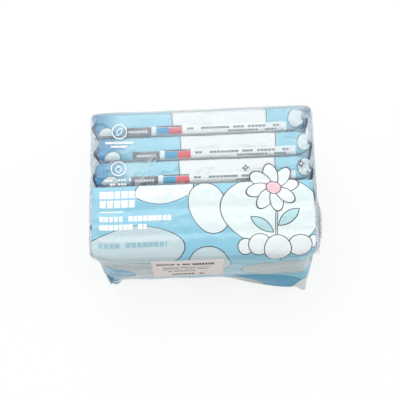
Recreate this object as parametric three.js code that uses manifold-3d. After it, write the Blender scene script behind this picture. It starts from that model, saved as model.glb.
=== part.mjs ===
// A multipack of wet wipes: six flow-wrapped packs stand on edge, side by side, in one sleeve of film.
// Each pack is a sealed pouch with tucked ends, ribbed fin seals and a back seam, and has a reseal flap stuck
// over its opening. The sleeve is a thin hollow shell with tucked ends and ribbed fin seals of its own, whose
// film spreads a little at the foot. A price sticker is on its front.
// Millimetres. X runs along the packs, Y from the front of the bundle to its back, Z up. The origin is the
// middle of the bundle's footprint.
import * as THREE from "three";
import { mergeVertices } from "three/addons/utils/BufferGeometryUtils.js";
import Module from "manifold-3d";

// Bundle, with the packs numbered from the front
const PACK_PITCH = 23.65;
const PACK_SHIFTS = [1, -1, 1.5, 0.5, 1.5, -2]; // each pack lies a little off the middle, along X

// One pack, standing on its long edge
const PACK_THICKNESS = 22;
const PACK_HEIGHT = 88;
const PACK_CORNER = 7;
const PACK_CROWN = 0.7; // swell of the long edges
const PACK_BODY_END = 84; // half the length that the stack of wipes fills
const PACK_SEAL_START = 90.5;
const PACK_SEAL_END = 98.5;
const PACK_SEAL_HEIGHT = 86;
const PACK_TUCK = 10.5; // depth of the fold that each long edge makes at the end
const SEAM_WIDTH = 11;
const SEAM_THICKNESS = 0.5;
const SEAM_ROOT = 0.3; // how far the seam is sunk into the pouch

// Reseal flap on each pack
const FLAP_LENGTH = 82;
const FLAP_WIDTH = 46;
const FLAP_CORNER = 9;
const FLAP_TAB_RADIUS = 9;
const FLAP_THICKNESS = 0.5;

// Film sleeve round the six packs
const WRAP_HEIGHT = 92;
const WRAP_FILM = 0.6;
const WRAP_CORNER = 7;
const WRAP_TOP_REACH = 72.4; // half its depth at the top
const WRAP_FOOT_REACH = 75.5; // half its depth at the foot, halfway along
const WRAP_EAR_REACH = 81; // half its depth at the foot's four corners, where the loose film spreads
const WRAP_WAIST = 77; // half its depth at mid height, where the sides swell
const WRAP_BODY_END = 60;
const WRAP_SHOULDER = 102; // half the length of the full-height part
const WRAP_SHOULDER_TUCK = 8;
const WRAP_FRONT_ROUNDING = 7; // how far the top's front corners are drawn in, round the tapered pack ends
const WRAP_BACK_ROUNDING = 2;
const WRAP_ROUNDING_LENGTH = 11; // how much of the length that takes
const WRAP_SEAL_START = 105.5;
const WRAP_SEAL_END = 112;
const WRAP_SEAL_WIDTH = 143;
const WRAP_END_TUCK = 34; // deepest fold of each long side, on the end
const VENT_RADIUS = 1.7;
const VENT_X = 60;

// Ribbed seals
const SEAL_THICKNESS = 1.2;
const RIB_PITCH = 7.5;
const RIB_DEPTH = 0.5;
const TOOTH_DEPTH = 1.6;
const SEAL_OVERLAP = 1.5; // how far a seal runs into its pouch

// Price sticker, bent over the sleeve's front top edge and the swell below it
const STICKER_WIDTH = 68;
const STICKER_X = -15;
const STICKER_FOOT = 40;
const STICKER_BEND = 2; // facets of the sleeve's front top corner that it bends over
const STICKER_THICKNESS = 0.4;

const CLEARANCE = 0.3; // between pieces that lie on each other
const CORNER_STEPS = 4;
const MIDDLE_Z = WRAP_HEIGHT / 2;

const wasm = await Module();
wasm.setup();

const material = (colour, roughness, opacity = 1) =>
  new THREE.MeshStandardMaterial({
    color: colour, roughness, metalness: 0, opacity, transparent: opacity < 1,
  });
const MATERIALS = {
  packFilm: material(0xcfe6f2, 0.35),
  sleeveFilm: material(0x86c6e6, 0.25, 0.45),
  resealFlap: material(0xf2f6f8, 0.4),
  sticker: material(0xf3e9e4, 0.7),
};

/** A geometry from a list of points and a list of index triples. */
function geometryOf(points, triangles) {
  const geometry = new THREE.BufferGeometry();
  const numbers = new Float32Array(points.flatMap((p) => [p.x, p.y, p.z]));
  geometry.setAttribute("position", new THREE.BufferAttribute(numbers, 3));
  geometry.setIndex(triangles.flat());
  return geometry;
}

/** A manifold-3d solid from a closed geometry. */
function solidOf(geometry) {
  const bare = geometry.clone();
  bare.deleteAttribute("normal");
  bare.deleteAttribute("uv");
  const merged = mergeVertices(bare, 1e-4);
  return new wasm.Manifold(new wasm.Mesh({
    numProp: 3,
    vertProperties: merged.attributes.position.array,
    triVerts: new Uint32Array(merged.index.array),
  }));
}

/** A geometry with flat-shaded faces from a manifold-3d solid. */
function geometryFrom(solid) {
  const { numProp, vertProperties, triVerts } = solid.getMesh();
  const count = vertProperties.length / numProp;
  const points = Array.from({ length: count }, (_, i) =>
    new THREE.Vector3().fromArray(vertProperties, i * numProp));
  const shared = geometryOf(points, [Array.from(triVerts)]);
  const flat = shared.toNonIndexed();
  flat.computeVertexNormals();
  return flat;
}

/** Skins rings of equal length, which run anticlockwise seen from +X, and caps both ends. */
function loft(rings) {
  const n = rings[0].length;
  const triangles = [];
  for (let i = 0; i + 1 < rings.length; i++) {
    for (let j = 0; j < n; j++) {
      const next = (j + 1) % n;
      const [a, b] = [i * n + j, i * n + next];
      const [c, d] = [b + n, a + n];
      triangles.push([a, b, c], [a, c, d]);
    }
  }
  const cap = (ring, start, outward) => {
    const outline = ring.map((p) => new THREE.Vector2(p.y, p.z));
    for (const [a, b, c] of THREE.ShapeUtils.triangulateShape(outline, [])) {
      const turn = outline[b].clone().sub(outline[a]).cross(outline[c].clone().sub(outline[a]));
      const [second, third] = turn * outward > 0 ? [b, c] : [c, b];
      triangles.push([start + a, start + second, start + third]);
    }
  };
  cap(rings[0], 0, -1);
  cap(rings.at(-1), (rings.length - 1) * n, 1);
  return geometryOf(rings.flat(), triangles);
}

/**
 * The outline of a pouch across its length, as [p, q] pairs. p crosses the two walls that close on each
 * other, and q runs along them. upper and lower are the walls' half widths, upperBack is the upper wall's
 * towards negative q where that differs, and waist is how far out the folded edge between the walls lies,
 * halfway from one to the other.
 */
function pouchOutline({ half, upper, upperBack = upper, lower, waist, corner }) {
  const r = Math.min(corner, half * 0.9);
  const corners = [
    { p: half - r, q: upper - r, from: 0 },
    { p: r - half, q: lower - r, from: 90 },
    { p: r - half, q: r - lower, from: 180 },
    { p: half - r, q: r - upperBack, from: 270 },
  ];
  const points = [];
  corners.forEach(({ p, q, from }, index) => {
    for (let step = 0; step <= CORNER_STEPS; step++) {
      const angle = THREE.MathUtils.degToRad(from + (90 * step) / CORNER_STEPS);
      points.push([p + r * Math.cos(angle), q + r * Math.sin(angle)]);
    }
    if (index === 0) points.push([0, waist]);
    if (index === 2) points.push([0, -waist]);
  });
  return points;
}

/** Interpolates a list of stations, each with an x and named values, at a distance x from the middle. */
function along(stations, x) {
  const end = stations.findIndex((s) => s.x >= x);
  if (end === 0) return stations[0];
  if (end < 0) return stations.at(-1);
  const [before, after] = [stations[end - 1], stations[end]];
  const share = (x - before.x) / (after.x - before.x);
  const mix = (name) => THREE.MathUtils.lerp(before[name], after[name], share);
  return Object.fromEntries(Object.keys(after).map((name) => [name, mix(name)]));
}

/** A solid with the same stations towards both ends. place turns x, p and q into a point. */
function twoEnded(stations, outline, place) {
  const all = [...stations.toReversed().map((s) => [-s.x, s]), ...stations.map((s) => [s.x, s])];
  return solidOf(loft(all.map(([x, s]) => outline(s).map(([p, q]) => place(x, p, q)))));
}

/**
 * One ribbed fin seal at the +X end: a sheet that zigzags across its width, with a toothed tip.
 * place turns x, the offset across the sheet and the distance along its width into a point.
 */
function ribbedSeal(root, tip, width, place) {
  const ribs = Math.round(width / RIB_PITCH) * 2;
  const faces = [1, -1].map((face) => {
    const rows = [root, tip].map((x, row) =>
      Array.from({ length: ribs + 1 }, (_, i) => {
        const tooth = row === 1 && i % 2 === 0 ? TOOTH_DEPTH : 0;
        const zigzag = i % 2 === 0 ? -RIB_DEPTH / 2 : RIB_DEPTH / 2;
        return place(x - tooth, zigzag + (face * SEAL_THICKNESS) / 2, width * (i / ribs - 0.5));
      }));
    return rows.flat();
  });
  const [n, side] = [ribs + 1, 2 * (ribs + 1)];
  const triangles = [];
  const quad = (a, b, c, d) => triangles.push([a, b, c], [a, c, d]);
  for (let i = 0; i < ribs; i++) {
    quad(i, i + 1, n + i + 1, n + i);
    quad(side + n + i, side + n + i + 1, side + i + 1, side + i);
    quad(i + 1, i, side + i, side + i + 1);
    quad(n + i, n + i + 1, side + n + i + 1, side + n + i);
  }
  quad(0, n, side + n, side);
  quad(side + ribs, side + n + ribs, n + ribs, ribs);
  return geometryOf(faces.flat(), triangles);
}

/** The solid of a geometry, turned right side out whichever way its faces run. */
function outwardSolid(geometry) {
  const solid = solidOf(geometry);
  if (solid.volume() > 0) return solid;
  const index = geometry.index.array;
  for (let i = 0; i < index.length; i += 3) [index[i + 1], index[i + 2]] = [index[i + 2], index[i + 1]];
  return solidOf(geometry);
}

/** Adds a ribbed seal to both ends of a pouch. */
function withSeals(body, start, tip, width, place) {
  const seals = [1, -1].map((end) =>
    outwardSolid(ribbedSeal(start - SEAL_OVERLAP, tip, width, (x, p, q) => place(end * x, p, q))));
  return body.add(seals[0]).add(seals[1]);
}

/** A pack's stations from the middle towards one end. */
function packStations() {
  const [half, reach, sealReach] = [PACK_THICKNESS / 2, PACK_HEIGHT / 2, PACK_SEAL_HEIGHT / 2];
  const body = { half, upper: reach, lower: reach, waist: reach + PACK_CROWN, corner: PACK_CORNER };
  const station = (share, tuck, corner) => {
    const edge = THREE.MathUtils.lerp(reach, sealReach, share);
    return {
      x: THREE.MathUtils.lerp(PACK_BODY_END, PACK_SEAL_START, share),
      half: THREE.MathUtils.lerp(half, SEAL_THICKNESS / 2, share),
      upper: edge, lower: edge, waist: edge - tuck * PACK_TUCK, corner: corner * PACK_CORNER,
    };
  };
  const closed = station(1, 0, 0.1);
  return [
    { ...body, x: 0.6 * PACK_BODY_END },
    { ...body, x: 0.95 * PACK_BODY_END },
    station(0.1, 0.25, 0.7),
    station(0.4, 0.65, 0.45),
    station(0.75, 1, 0.2),
    station(0.92, 0.6, 0.1),
    closed,
    { ...closed, x: closed.x + SEAL_OVERLAP },
  ];
}

/** One sealed pack about its own middle: thickness along Y, height along Z. */
function packGeometry() {
  const place = (x, p, q) => new THREE.Vector3(x, p, q);
  const stations = packStations();
  const seamOutline = ({ half }) => {
    const [outer, inner] = [half + SEAM_THICKNESS, half - SEAM_ROOT];
    return [[outer, 0], [outer, SEAM_WIDTH], [inner, SEAM_WIDTH], [inner, 0]];
  };
  const body = twoEnded(stations, pouchOutline, place).add(twoEnded(stations, seamOutline, place));
  return geometryFrom(withSeals(body, PACK_SEAL_START, PACK_SEAL_END, PACK_SEAL_HEIGHT, place));
}

/** The reseal flap: a round-cornered panel with a half-round pull tab, lying on its back in the XY plane. */
function resealFlapGeometry() {
  const [x, y, r, tab] = [FLAP_LENGTH / 2, FLAP_WIDTH / 2, FLAP_CORNER, FLAP_TAB_RADIUS];
  const quarter = Math.PI / 2;
  const outline = new THREE.Shape();
  outline.absarc(x - r, r - y, r, -quarter, 0);
  outline.absarc(x, 0, tab, -quarter, quarter);
  outline.absarc(x - r, y - r, r, 0, quarter);
  outline.absarc(r - x, y - r, r, quarter, 2 * quarter);
  outline.absarc(r - x, r - y, r, 2 * quarter, 3 * quarter);
  return new THREE.ExtrudeGeometry(outline, {
    depth: FLAP_THICKNESS, bevelEnabled: false, curveSegments: 6,
  });
}

/** The sleeve's stations from the middle towards one end. */
function sleeveStations() {
  const closing = WRAP_SEAL_START - WRAP_SHOULDER;
  const sealReach = WRAP_SEAL_WIDTH / 2 + 0.5;
  const top = (rounded) => ({
    upper: WRAP_TOP_REACH - rounded * WRAP_FRONT_ROUNDING,
    upperBack: WRAP_TOP_REACH - rounded * WRAP_BACK_ROUNDING,
  });
  const upright = (x, spread, rounded, tuck, corner) => ({
    x, half: MIDDLE_Z, ...top(rounded),
    lower: THREE.MathUtils.lerp(WRAP_FOOT_REACH, WRAP_EAR_REACH, spread),
    waist: WRAP_WAIST - tuck, corner: corner * WRAP_CORNER,
  });
  const folded = (share, height, rounded, side, tuck, corner) => ({
    x: WRAP_SHOULDER + share * closing, half: height * MIDDLE_Z, ...top(rounded), lower: side,
    waist: WRAP_WAIST - tuck, corner: corner * WRAP_CORNER,
  });
  const closed = {
    x: WRAP_SEAL_START, half: SEAL_THICKNESS / 2,
    upper: sealReach, upperBack: sealReach, lower: sealReach, waist: sealReach, corner: 0.1 * WRAP_CORNER,
  };
  return [
    upright(0.2 * WRAP_BODY_END, 0, 0, 0, 1),
    upright(WRAP_BODY_END, 0.3, 0, 0, 1),
    upright(0.5 * (WRAP_BODY_END + WRAP_SHOULDER), 0.7, 0, 0, 1),
    upright(WRAP_SHOULDER - WRAP_ROUNDING_LENGTH, 0.9, 0.15, 0.3 * WRAP_SHOULDER_TUCK, 1),
    upright(WRAP_SHOULDER, 1, 0.8, WRAP_SHOULDER_TUCK, 0.7),
    folded(0.15, 0.95, 1, WRAP_EAR_REACH - 1, 0.5 * WRAP_END_TUCK, 0.5),
    folded(0.5, 0.6, 0.7, sealReach, WRAP_END_TUCK, 0.3),
    folded(0.8, 0.24, 0.3, sealReach, 0.85 * WRAP_END_TUCK, 0.2),
    folded(0.94, 0.09, 0.1, sealReach, 0.5 * WRAP_END_TUCK, 0.1),
    closed,
  ];
}

/** The sleeve: a hollow film tube, tucked and sealed at both ends, with two vent holes in its underside. */
function sleeveGeometry() {
  const place = (x, p, q) => new THREE.Vector3(x, -q, MIDDLE_Z + p);
  const stations = sleeveStations();
  const closed = stations.at(-1);
  const outside = twoEnded([...stations, { ...closed, x: closed.x + SEAL_OVERLAP }], pouchOutline, place);
  const inner = stations.slice(0, -1).map((s) => ({
    x: s.x - WRAP_FILM, half: s.half - WRAP_FILM, upper: s.upper - WRAP_FILM,
    upperBack: s.upperBack - WRAP_FILM, lower: s.lower - WRAP_FILM, waist: s.waist - WRAP_FILM,
    corner: s.corner,
  }));
  const film = withSeals(outside, WRAP_SEAL_START, WRAP_SEAL_END, WRAP_SEAL_WIDTH, place);
  const vents = [VENT_X, -VENT_X].map((x) => {
    const hole = new THREE.CylinderGeometry(VENT_RADIUS, VENT_RADIUS, 6 * WRAP_FILM, 12);
    return solidOf(hole.rotateX(Math.PI / 2).translate(x, 0, 0));
  });
  const hollow = film.subtract(twoEnded(inner, pouchOutline, place));
  return geometryFrom(vents.reduce((shell, hole) => shell.subtract(hole), hollow));
}

/** The sleeve's front outline at x, from the height of the sticker's foot up over the top corner. */
function frontOutline(x) {
  const { upper, lower, waist, corner } = along(sleeveStations(), Math.abs(x));
  const [deep, foot] = [MIDDLE_Z - corner, MIDDLE_Z - STICKER_FOOT];
  const points = [new THREE.Vector2(THREE.MathUtils.lerp(waist, lower, foot / deep), STICKER_FOOT)];
  points.push(new THREE.Vector2(waist, MIDDLE_Z));
  for (let step = 0; step <= STICKER_BEND; step++) {
    const angle = (Math.PI / 2) * (step / CORNER_STEPS);
    const [out, up] = [corner * Math.cos(angle), corner * Math.sin(angle)];
    points.push(new THREE.Vector2(upper - corner + out, MIDDLE_Z + deep + up));
  }
  return points;
}

/** An outline of [reach, height] points moved outwards, each along the mean of its two edges' normals. */
function movedOut(outline, distance) {
  const normal = (from, to) => new THREE.Vector2(to.y - from.y, from.x - to.x).normalize();
  return outline.map((point, i) => {
    const before = i > 0 ? normal(outline[i - 1], point) : normal(point, outline[i + 1]);
    const after = i + 1 < outline.length ? normal(point, outline[i + 1]) : before;
    return before.add(after).normalize().multiplyScalar(distance).add(point);
  });
}

/** The price sticker: a thin sheet bent over the sleeve's front. */
function stickerGeometry() {
  const rings = [-1, 0, 1].map((end) => {
    const x = STICKER_X + (end * STICKER_WIDTH) / 2;
    const face = (gap) => movedOut(frontOutline(x), gap).map((p) => new THREE.Vector3(x, -p.x, p.y));
    return [...face(CLEARANCE), ...face(CLEARANCE + STICKER_THICKNESS).reverse()];
  });
  return geometryFrom(outwardSolid(loft(rings)));
}

/** A named mesh. */
function part(name, geometry, look) {
  const mesh = new THREE.Mesh(geometry, look);
  mesh.name = name;
  return mesh;
}

const bundle = new THREE.Group();
bundle.name = "wet_wipes_multipack";
bundle.add(part("overwrap_film", sleeveGeometry(), MATERIALS.sleeveFilm));

const pack = packGeometry();
const resealFlap = resealFlapGeometry();
PACK_SHIFTS.forEach((shift, i) => {
  const place = new THREE.Group();
  place.position.set(shift, (i - (PACK_SHIFTS.length - 1) / 2) * PACK_PITCH, MIDDLE_Z);
  const flap = part(`reseal_flap_${i + 1}`, resealFlap, MATERIALS.resealFlap);
  flap.rotation.x = Math.PI / 2;
  flap.position.y = -PACK_THICKNESS / 2 - CLEARANCE;
  place.add(part(`wipes_pack_${i + 1}`, pack, MATERIALS.packFilm), flap);
  bundle.add(place);
});
bundle.add(part("price_sticker", stickerGeometry(), MATERIALS.sticker));

export default bundle;
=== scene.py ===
"""The looks of a wet wipes multipack: six flow-wrapped packs stand on edge in one sleeve of printed film.

Sizes are millimetres, as film is cut and printed in them, and turn into metres where a vertex is placed.
Every film has two coordinates of its own, kept in its UV map: u runs along the packs, from the middle of
the bundle, and v runs round it. The print is drawn in those coordinates.
"""

import logging
import math
from dataclasses import dataclass, field
from enum import Enum

import bmesh
import bpy
from mathutils import Matrix, Vector, noise


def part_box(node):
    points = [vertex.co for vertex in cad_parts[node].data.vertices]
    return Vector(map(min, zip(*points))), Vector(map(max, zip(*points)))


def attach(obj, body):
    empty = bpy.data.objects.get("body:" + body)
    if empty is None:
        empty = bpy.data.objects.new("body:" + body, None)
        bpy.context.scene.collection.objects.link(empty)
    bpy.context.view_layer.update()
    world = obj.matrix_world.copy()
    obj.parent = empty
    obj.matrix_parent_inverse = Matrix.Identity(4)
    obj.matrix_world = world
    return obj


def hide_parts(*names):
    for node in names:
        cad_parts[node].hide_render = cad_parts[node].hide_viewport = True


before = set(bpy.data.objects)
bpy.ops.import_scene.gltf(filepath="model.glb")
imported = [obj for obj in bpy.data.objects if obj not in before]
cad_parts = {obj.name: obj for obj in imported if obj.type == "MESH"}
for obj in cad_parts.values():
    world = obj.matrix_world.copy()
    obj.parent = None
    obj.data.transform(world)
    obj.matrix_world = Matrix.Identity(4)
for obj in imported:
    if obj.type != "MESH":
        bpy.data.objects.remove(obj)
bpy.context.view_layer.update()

log = logging.getLogger("wipes")

MM = 0.001
WELD = 0.00002
Colour = tuple[float, float, float, float]
Spot = tuple[float, float]
Socket = bpy.types.NodeSocket


def rgb(red: int, green: int, blue: int) -> Colour:
    """The linear colour of a printed colour that is written in the usual 0 to 255 steps.

    Args:
        red: its red step.
        green: its green step.
        blue: its blue step.

    Returns:
        The colour in linear light, with an alpha of 1.
    """
    def linear(step: int) -> float:
        """One channel, from its step to linear light."""
        share = step / 255
        return share / 12.92 if share <= 0.04045 else ((share + 0.055) / 1.055) ** 2.4

    return linear(red), linear(green), linear(blue), 1.0


def ease(low: float, high: float, value: float) -> float:
    """Rises smoothly from 0 at low to 1 at high."""
    share = min(1.0, max(0.0, (value - low) / (high - low)))
    return share * share * (3 - 2 * share)


def blend(start: float, end: float, share: float) -> float:
    """The value at a share of the way from start to end."""
    return start + (end - start) * share


def lines(*stretches: tuple[float, float, float]) -> list[float]:
    """Places of grid lines over stretches that follow each other.

    Args:
        stretches: the start, the end and the wanted step of each stretch.

    Returns:
        The places, from the first start to the last end.
    """
    places = [stretches[0][0]]
    for start, end, step in stretches:
        count = max(1, round((end - start) / step))
        places += [blend(start, end, (i + 1) / count) for i in range(count)]
    return places


def both_ways(places: list[float]) -> list[float]:
    """Places from zero upwards, repeated towards the other end."""
    return [-place for place in reversed(places[1:])] + places


class Inks:
    """The printed colours of the bundle. The shaded and front pales are pale print in painted shade, the
    crease shade is painted shade, and the teal is partly painted shade.
    """

    SKY = rgb(138, 198, 220)
    LIGHT_SKY = rgb(150, 206, 226)
    PACK_SKY = rgb(112, 182, 206)
    LIGHT_PACK_SKY = rgb(144, 202, 220)
    DEEP_SKY = rgb(92, 168, 202)
    FOLD_BLUE = rgb(58, 146, 190)
    PALE = rgb(226, 239, 241)
    # The two pales below are pale print in painted shade: darker where the top turns down to the front, and
    # darker still on the front face.
    SHADED_PALE = rgb(196, 215, 221)
    SHADED_FRONT_PALE = rgb(180, 196, 198)
    WHITE = rgb(246, 248, 250)
    PETAL = rgb(234, 241, 243)
    MILK = rgb(214, 221, 224)
    OUTLINE = rgb(20, 30, 36)
    # Teal of the pack ends: partly print, and partly painted shade in the tucks and towards the left end.
    TEAL_AND_SHADE = rgb(34, 128, 172)
    TEAL_LINE = rgb(148, 190, 202)
    # Painted shade: a dark line along each crease between the packs.
    CREASE = rgb(44, 84, 104)
    LEAF = rgb(178, 216, 222)
    PINK = rgb(240, 196, 206)
    CORAL = rgb(218, 104, 116)
    BLUE_BLOCK = rgb(84, 164, 204)
    GREY_BLOCK = rgb(112, 120, 128)
    GREY_ROW = rgb(128, 140, 146)
    DARK_ROW = rgb(62, 62, 66)
    PAPER = rgb(252, 245, 241)
    SHADED_PAPER = rgb(240, 229, 224)
    FLAP = rgb(224, 238, 243)


class Motif(Enum):
    """The pictures that stand in a ring icon."""

    DROP = "drop"
    LEAF = "leaf"


class Wall(Enum):
    """The stretches of a film's outline, in the order in which v runs over them."""

    UPPER_FAR = 0
    UPPER_FAR_CORNER = 1
    FAR_SIDE = 2
    LOWER_FAR_CORNER = 3
    LOWER = 4
    LOWER_NEAR_CORNER = 5
    NEAR_SIDE = 6
    UPPER_NEAR_CORNER = 7
    UPPER_NEAR = 8


class Drawing:
    """Flat shapes drawn as shader maths on a film's own coordinates, in millimetres."""

    EDGE = 0.3

    def __init__(self, tree: bpy.types.NodeTree, spot: Socket | None) -> None:
        """Starts a drawing in a node tree.

        Args:
            tree: the node tree that is drawn in.
            spot: the vector socket that holds u and v.
        """
        self.tree = tree
        self.spot = spot

    def node(self, kind: str, **settings: object) -> bpy.types.Node:
        """A new node with its settings made.

        Args:
            kind: the node's type.
            settings: its properties by name.

        Returns:
            The node.
        """
        made = self.tree.nodes.new(kind)
        for name, value in settings.items():
            setattr(made, name, value)
        return made

    def feed(self, socket: Socket, value: object) -> None:
        """Links a socket to a socket, or sets it to a plain value.

        Args:
            socket: the input that is fed.
            value: an output socket or a plain value.
        """
        if isinstance(value, Socket):
            self.tree.links.new(value, socket)
        else:
            socket.default_value = value

    def math(self, operation: str, *values: object, clamp: bool = False) -> Socket:
        """The result of a Math node on sockets or numbers.

        Args:
            operation: the node's operation.
            values: its inputs in order.
            clamp: whether the result stays between 0 and 1.

        Returns:
            The result.
        """
        made = self.node("ShaderNodeMath", operation=operation, use_clamp=clamp)
        for socket, value in zip(made.inputs, values):
            self.feed(socket, value)
        return made.outputs[0]

    def vector(self, operation: str, *values: object) -> Socket:
        """The result of a Vector Math node: a number for a length or a distance, else a vector.

        Args:
            operation: the node's operation.
            values: its inputs in order.

        Returns:
            The result.
        """
        made = self.node("ShaderNodeVectorMath", operation=operation)
        for socket, value in zip(made.inputs, values):
            self.feed(socket, value)
        return made.outputs["Value" if operation in {"LENGTH", "DISTANCE"} else "Vector"]

    def ramp(self, value: Socket, start: float, end: float, low: float, high: float) -> Socket:
        """A value that runs straight from low to high while another runs from start to end.

        Args:
            value: the value that runs from start to end.
            start: where the ramp starts.
            end: where it ends, which may be less than start.
            low: the result up to the start.
            high: the result from the end onwards.

        Returns:
            The result.
        """
        made = self.node("ShaderNodeMapRange")
        for socket, given in zip(made.inputs, (value, start, end, low, high)):
            self.feed(socket, given)
        return made.outputs[0]

    def parts(self) -> tuple[Socket, Socket]:
        """The sockets of u and v.

        Returns:
            u and v.
        """
        made = self.node("ShaderNodeSeparateXYZ")
        self.feed(made.inputs[0], self.spot)
        return made.outputs[0], made.outputs[1]

    def seen_from(self, centre: Spot, turn: float = 0.0, scale: Spot = (1, 1)) -> Socket:
        """The spot as a shape sees it that is centred, turned by degrees and stretched.

        Args:
            centre: the shape's middle.
            turn: its turn in degrees.
            scale: its stretch along and across.

        Returns:
            The spot in the shape's own coordinates.
        """
        made = self.node("ShaderNodeMapping", vector_type="TEXTURE")
        self.feed(made.inputs["Vector"], self.spot)
        made.inputs["Location"].default_value = (*centre, 0)
        made.inputs["Rotation"].default_value = (0, 0, math.radians(turn))
        made.inputs["Scale"].default_value = (*scale, 1)
        return made.outputs[0]

    def disc(self, centre: Spot, radius: float) -> Socket:
        """The distance outside a disc."""
        return self.math("SUBTRACT", self.vector("DISTANCE", self.spot, (*centre, 0)), radius)

    def oval(self, centre: Spot, radii: Spot, turn: float = 0.0) -> Socket:
        """About the distance outside an oval."""
        size = self.vector("LENGTH", self.seen_from(centre, turn, radii))
        return self.math("MULTIPLY_ADD", size, min(radii), -min(radii))

    def box(self, centre: Spot, size: Spot, corner: float = 0.4, turn: float = 0.0) -> Socket:
        """The distance outside a round-cornered box, nowhere lower than minus its corner radius.

        Args:
            centre: the box's middle.
            size: its length and its height.
            corner: its corner radius.
            turn: its turn in degrees.

        Returns:
            The distance.
        """
        half = (size[0] / 2 - corner, size[1] / 2 - corner, 1)
        away = self.vector("SUBTRACT", self.vector("ABSOLUTE", self.seen_from(centre, turn)), half)
        outside = self.vector("LENGTH", self.vector("MAXIMUM", away, (0, 0, 0)))
        return self.math("SUBTRACT", outside, corner)

    def leaf(self, centre: Spot, length: float, width: float, turn: float) -> Socket:
        """The distance outside a pointed leaf, the overlap of two discs.

        Args:
            centre: the leaf's middle.
            length: its length from tip to tip.
            width: its width.
            turn: its turn in degrees.

        Returns:
            The distance.
        """
        radius = (length * length + width * width) / (4 * width)
        local = Drawing(self.tree, self.seen_from(centre, turn))
        offset = radius - width / 2
        return self.math("MAXIMUM", local.disc((0, offset), radius), local.disc((0, -offset), radius))

    def fill(self, distance: Socket) -> Socket:
        """A mask of the inside of a shape."""
        return self.math("MULTIPLY_ADD", distance, -1 / self.EDGE, 0.5, clamp=True)

    def outline(self, distance: Socket, width: float) -> Socket:
        """A mask of a line along the edge of a shape."""
        reach = self.math("ABSOLUTE", distance)
        return self.math("MULTIPLY_ADD", reach, -1 / self.EDGE, 0.5 + width / 2 / self.EDGE, clamp=True)

    def glow(self, centre: Spot, size: Spot, turn: float) -> Socket:
        """A long soft patch of that size, 1 in its middle and 0 from its edge outwards."""
        away = self.vector("LENGTH", self.seen_from(centre, turn, (size[0] / 2, size[1] / 2)))
        return self.math("POWER", self.math("SUBTRACT", 1.0, away, clamp=True), 1.4)

    def sparkle(self, centre: Spot, radius: float) -> Socket:
        """About the distance outside a star with four thin points.

        Args:
            centre: the star's middle.
            radius: how far its points reach.

        Returns:
            The distance.
        """
        near = self.vector("ABSOLUTE", self.seen_from(centre))
        made = self.node("ShaderNodeSeparateXYZ")
        self.feed(made.inputs[0], near)
        roots = [self.math("SQRT", made.outputs[i]) for i in (0, 1)]
        size = self.math("POWER", self.math("ADD", *roots), 2.0)
        return self.math("MULTIPLY", self.math("SUBTRACT", size, radius), 0.4)

    def paint(self, under: object, ink: object, mask: object) -> Socket:
        """A colour with an ink laid over it where the mask is.

        Args:
            under: the colour below.
            ink: the colour laid over it.
            mask: how much of the ink is there.

        Returns:
            The colour.
        """
        made = self.node("ShaderNodeMix", data_type="RGBA")
        self.feed(made.inputs["Factor"], mask)
        self.feed(made.inputs[6], under)
        self.feed(made.inputs[7], ink)
        return made.outputs[2]

    def inked(self, under: object, shape: Socket, ink: object, line: float = 0.8) -> Socket:
        """A colour with a shape laid over it that is filled and has a dark outline.

        Args:
            under: the colour below.
            shape: the distance outside the shape.
            ink: the colour that fills it.
            line: the width of its outline.

        Returns:
            The colour.
        """
        filled = self.paint(under, ink, self.fill(shape))
        return self.paint(filled, Inks.OUTLINE, self.outline(shape, line))

    def mixed(self, share: object, first: Socket, second: Socket) -> Socket:
        """A mix of two shaders.

        Args:
            share: how much of the second there is.
            first: the first shader.
            second: the second shader.

        Returns:
            The mixed shader.
        """
        made = self.node("ShaderNodeMixShader")
        for socket, value in zip(made.inputs, (share, first, second)):
            self.feed(socket, value)
        return made.outputs[0]

    def surface(self, colour: Socket, normal: Socket, **levels: object) -> Socket:
        """A Principled shader.

        Args:
            colour: its base colour.
            normal: its normal.
            levels: its other inputs by name, in which an underscore stands for a space.

        Returns:
            The shader.
        """
        made = self.node("ShaderNodeBsdfPrincipled")
        self.feed(made.inputs["Base Color"], colour)
        self.feed(made.inputs["Normal"], normal)
        for label, value in levels.items():
            self.feed(made.inputs[label.replace("_", " ")], value)
        return made.outputs[0]

    def seen(self) -> Socket:
        """Whether a ray is the camera's own, also through film or by reflection, and not light on the bundle.

        Returns:
            1 for a ray that the camera sees by, else 0.
        """
        rays = self.node("ShaderNodeLightPath").outputs
        bent = self.math("MAXIMUM", rays["Is Glossy Ray"], rays["Is Transmission Ray"])
        return self.math("MAXIMUM", rays["Is Camera Ray"], bent)

    def combined(self, *values: object) -> Socket:
        """A vector from one to three sockets or numbers.

        Args:
            values: the vector's parts.

        Returns:
            The vector.
        """
        made = self.node("ShaderNodeCombineXYZ")
        for socket, value in zip(made.inputs, values):
            self.feed(socket, value)
        return made.outputs[0]

    def clouded(self, size: float, detail: float = 2.0) -> Socket:
        """A soft noise over the film, about 0.5, whose patches have that size.

        Args:
            size: the size of a patch.
            detail: how much finer noise is added.

        Returns:
            The noise.
        """
        made = self.node("ShaderNodeTexNoise")
        self.feed(made.inputs["Vector"], self.spot)
        made.inputs["Scale"].default_value = 1 / size
        made.inputs["Detail"].default_value = detail
        return made.outputs["Fac"]

    def wavered(self, size: float, reach: float) -> "Drawing":
        """This drawing with its coordinates moved a little, so that lines look drawn by hand.

        Args:
            size: the length of a waver.
            reach: how far a line may stray.

        Returns:
            The drawing.
        """
        made = self.node("ShaderNodeTexNoise")
        self.feed(made.inputs["Vector"], self.spot)
        made.inputs["Scale"].default_value = 1 / size
        made.inputs["Detail"].default_value = 0.0
        shift = self.vector("SUBTRACT", made.outputs["Color"], (0.5, 0.5, 0.5))
        pushed = self.vector("MULTIPLY", shift, (2 * reach, 2 * reach, 0))
        return Drawing(self.tree, self.vector("ADD", self.spot, pushed))


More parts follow.
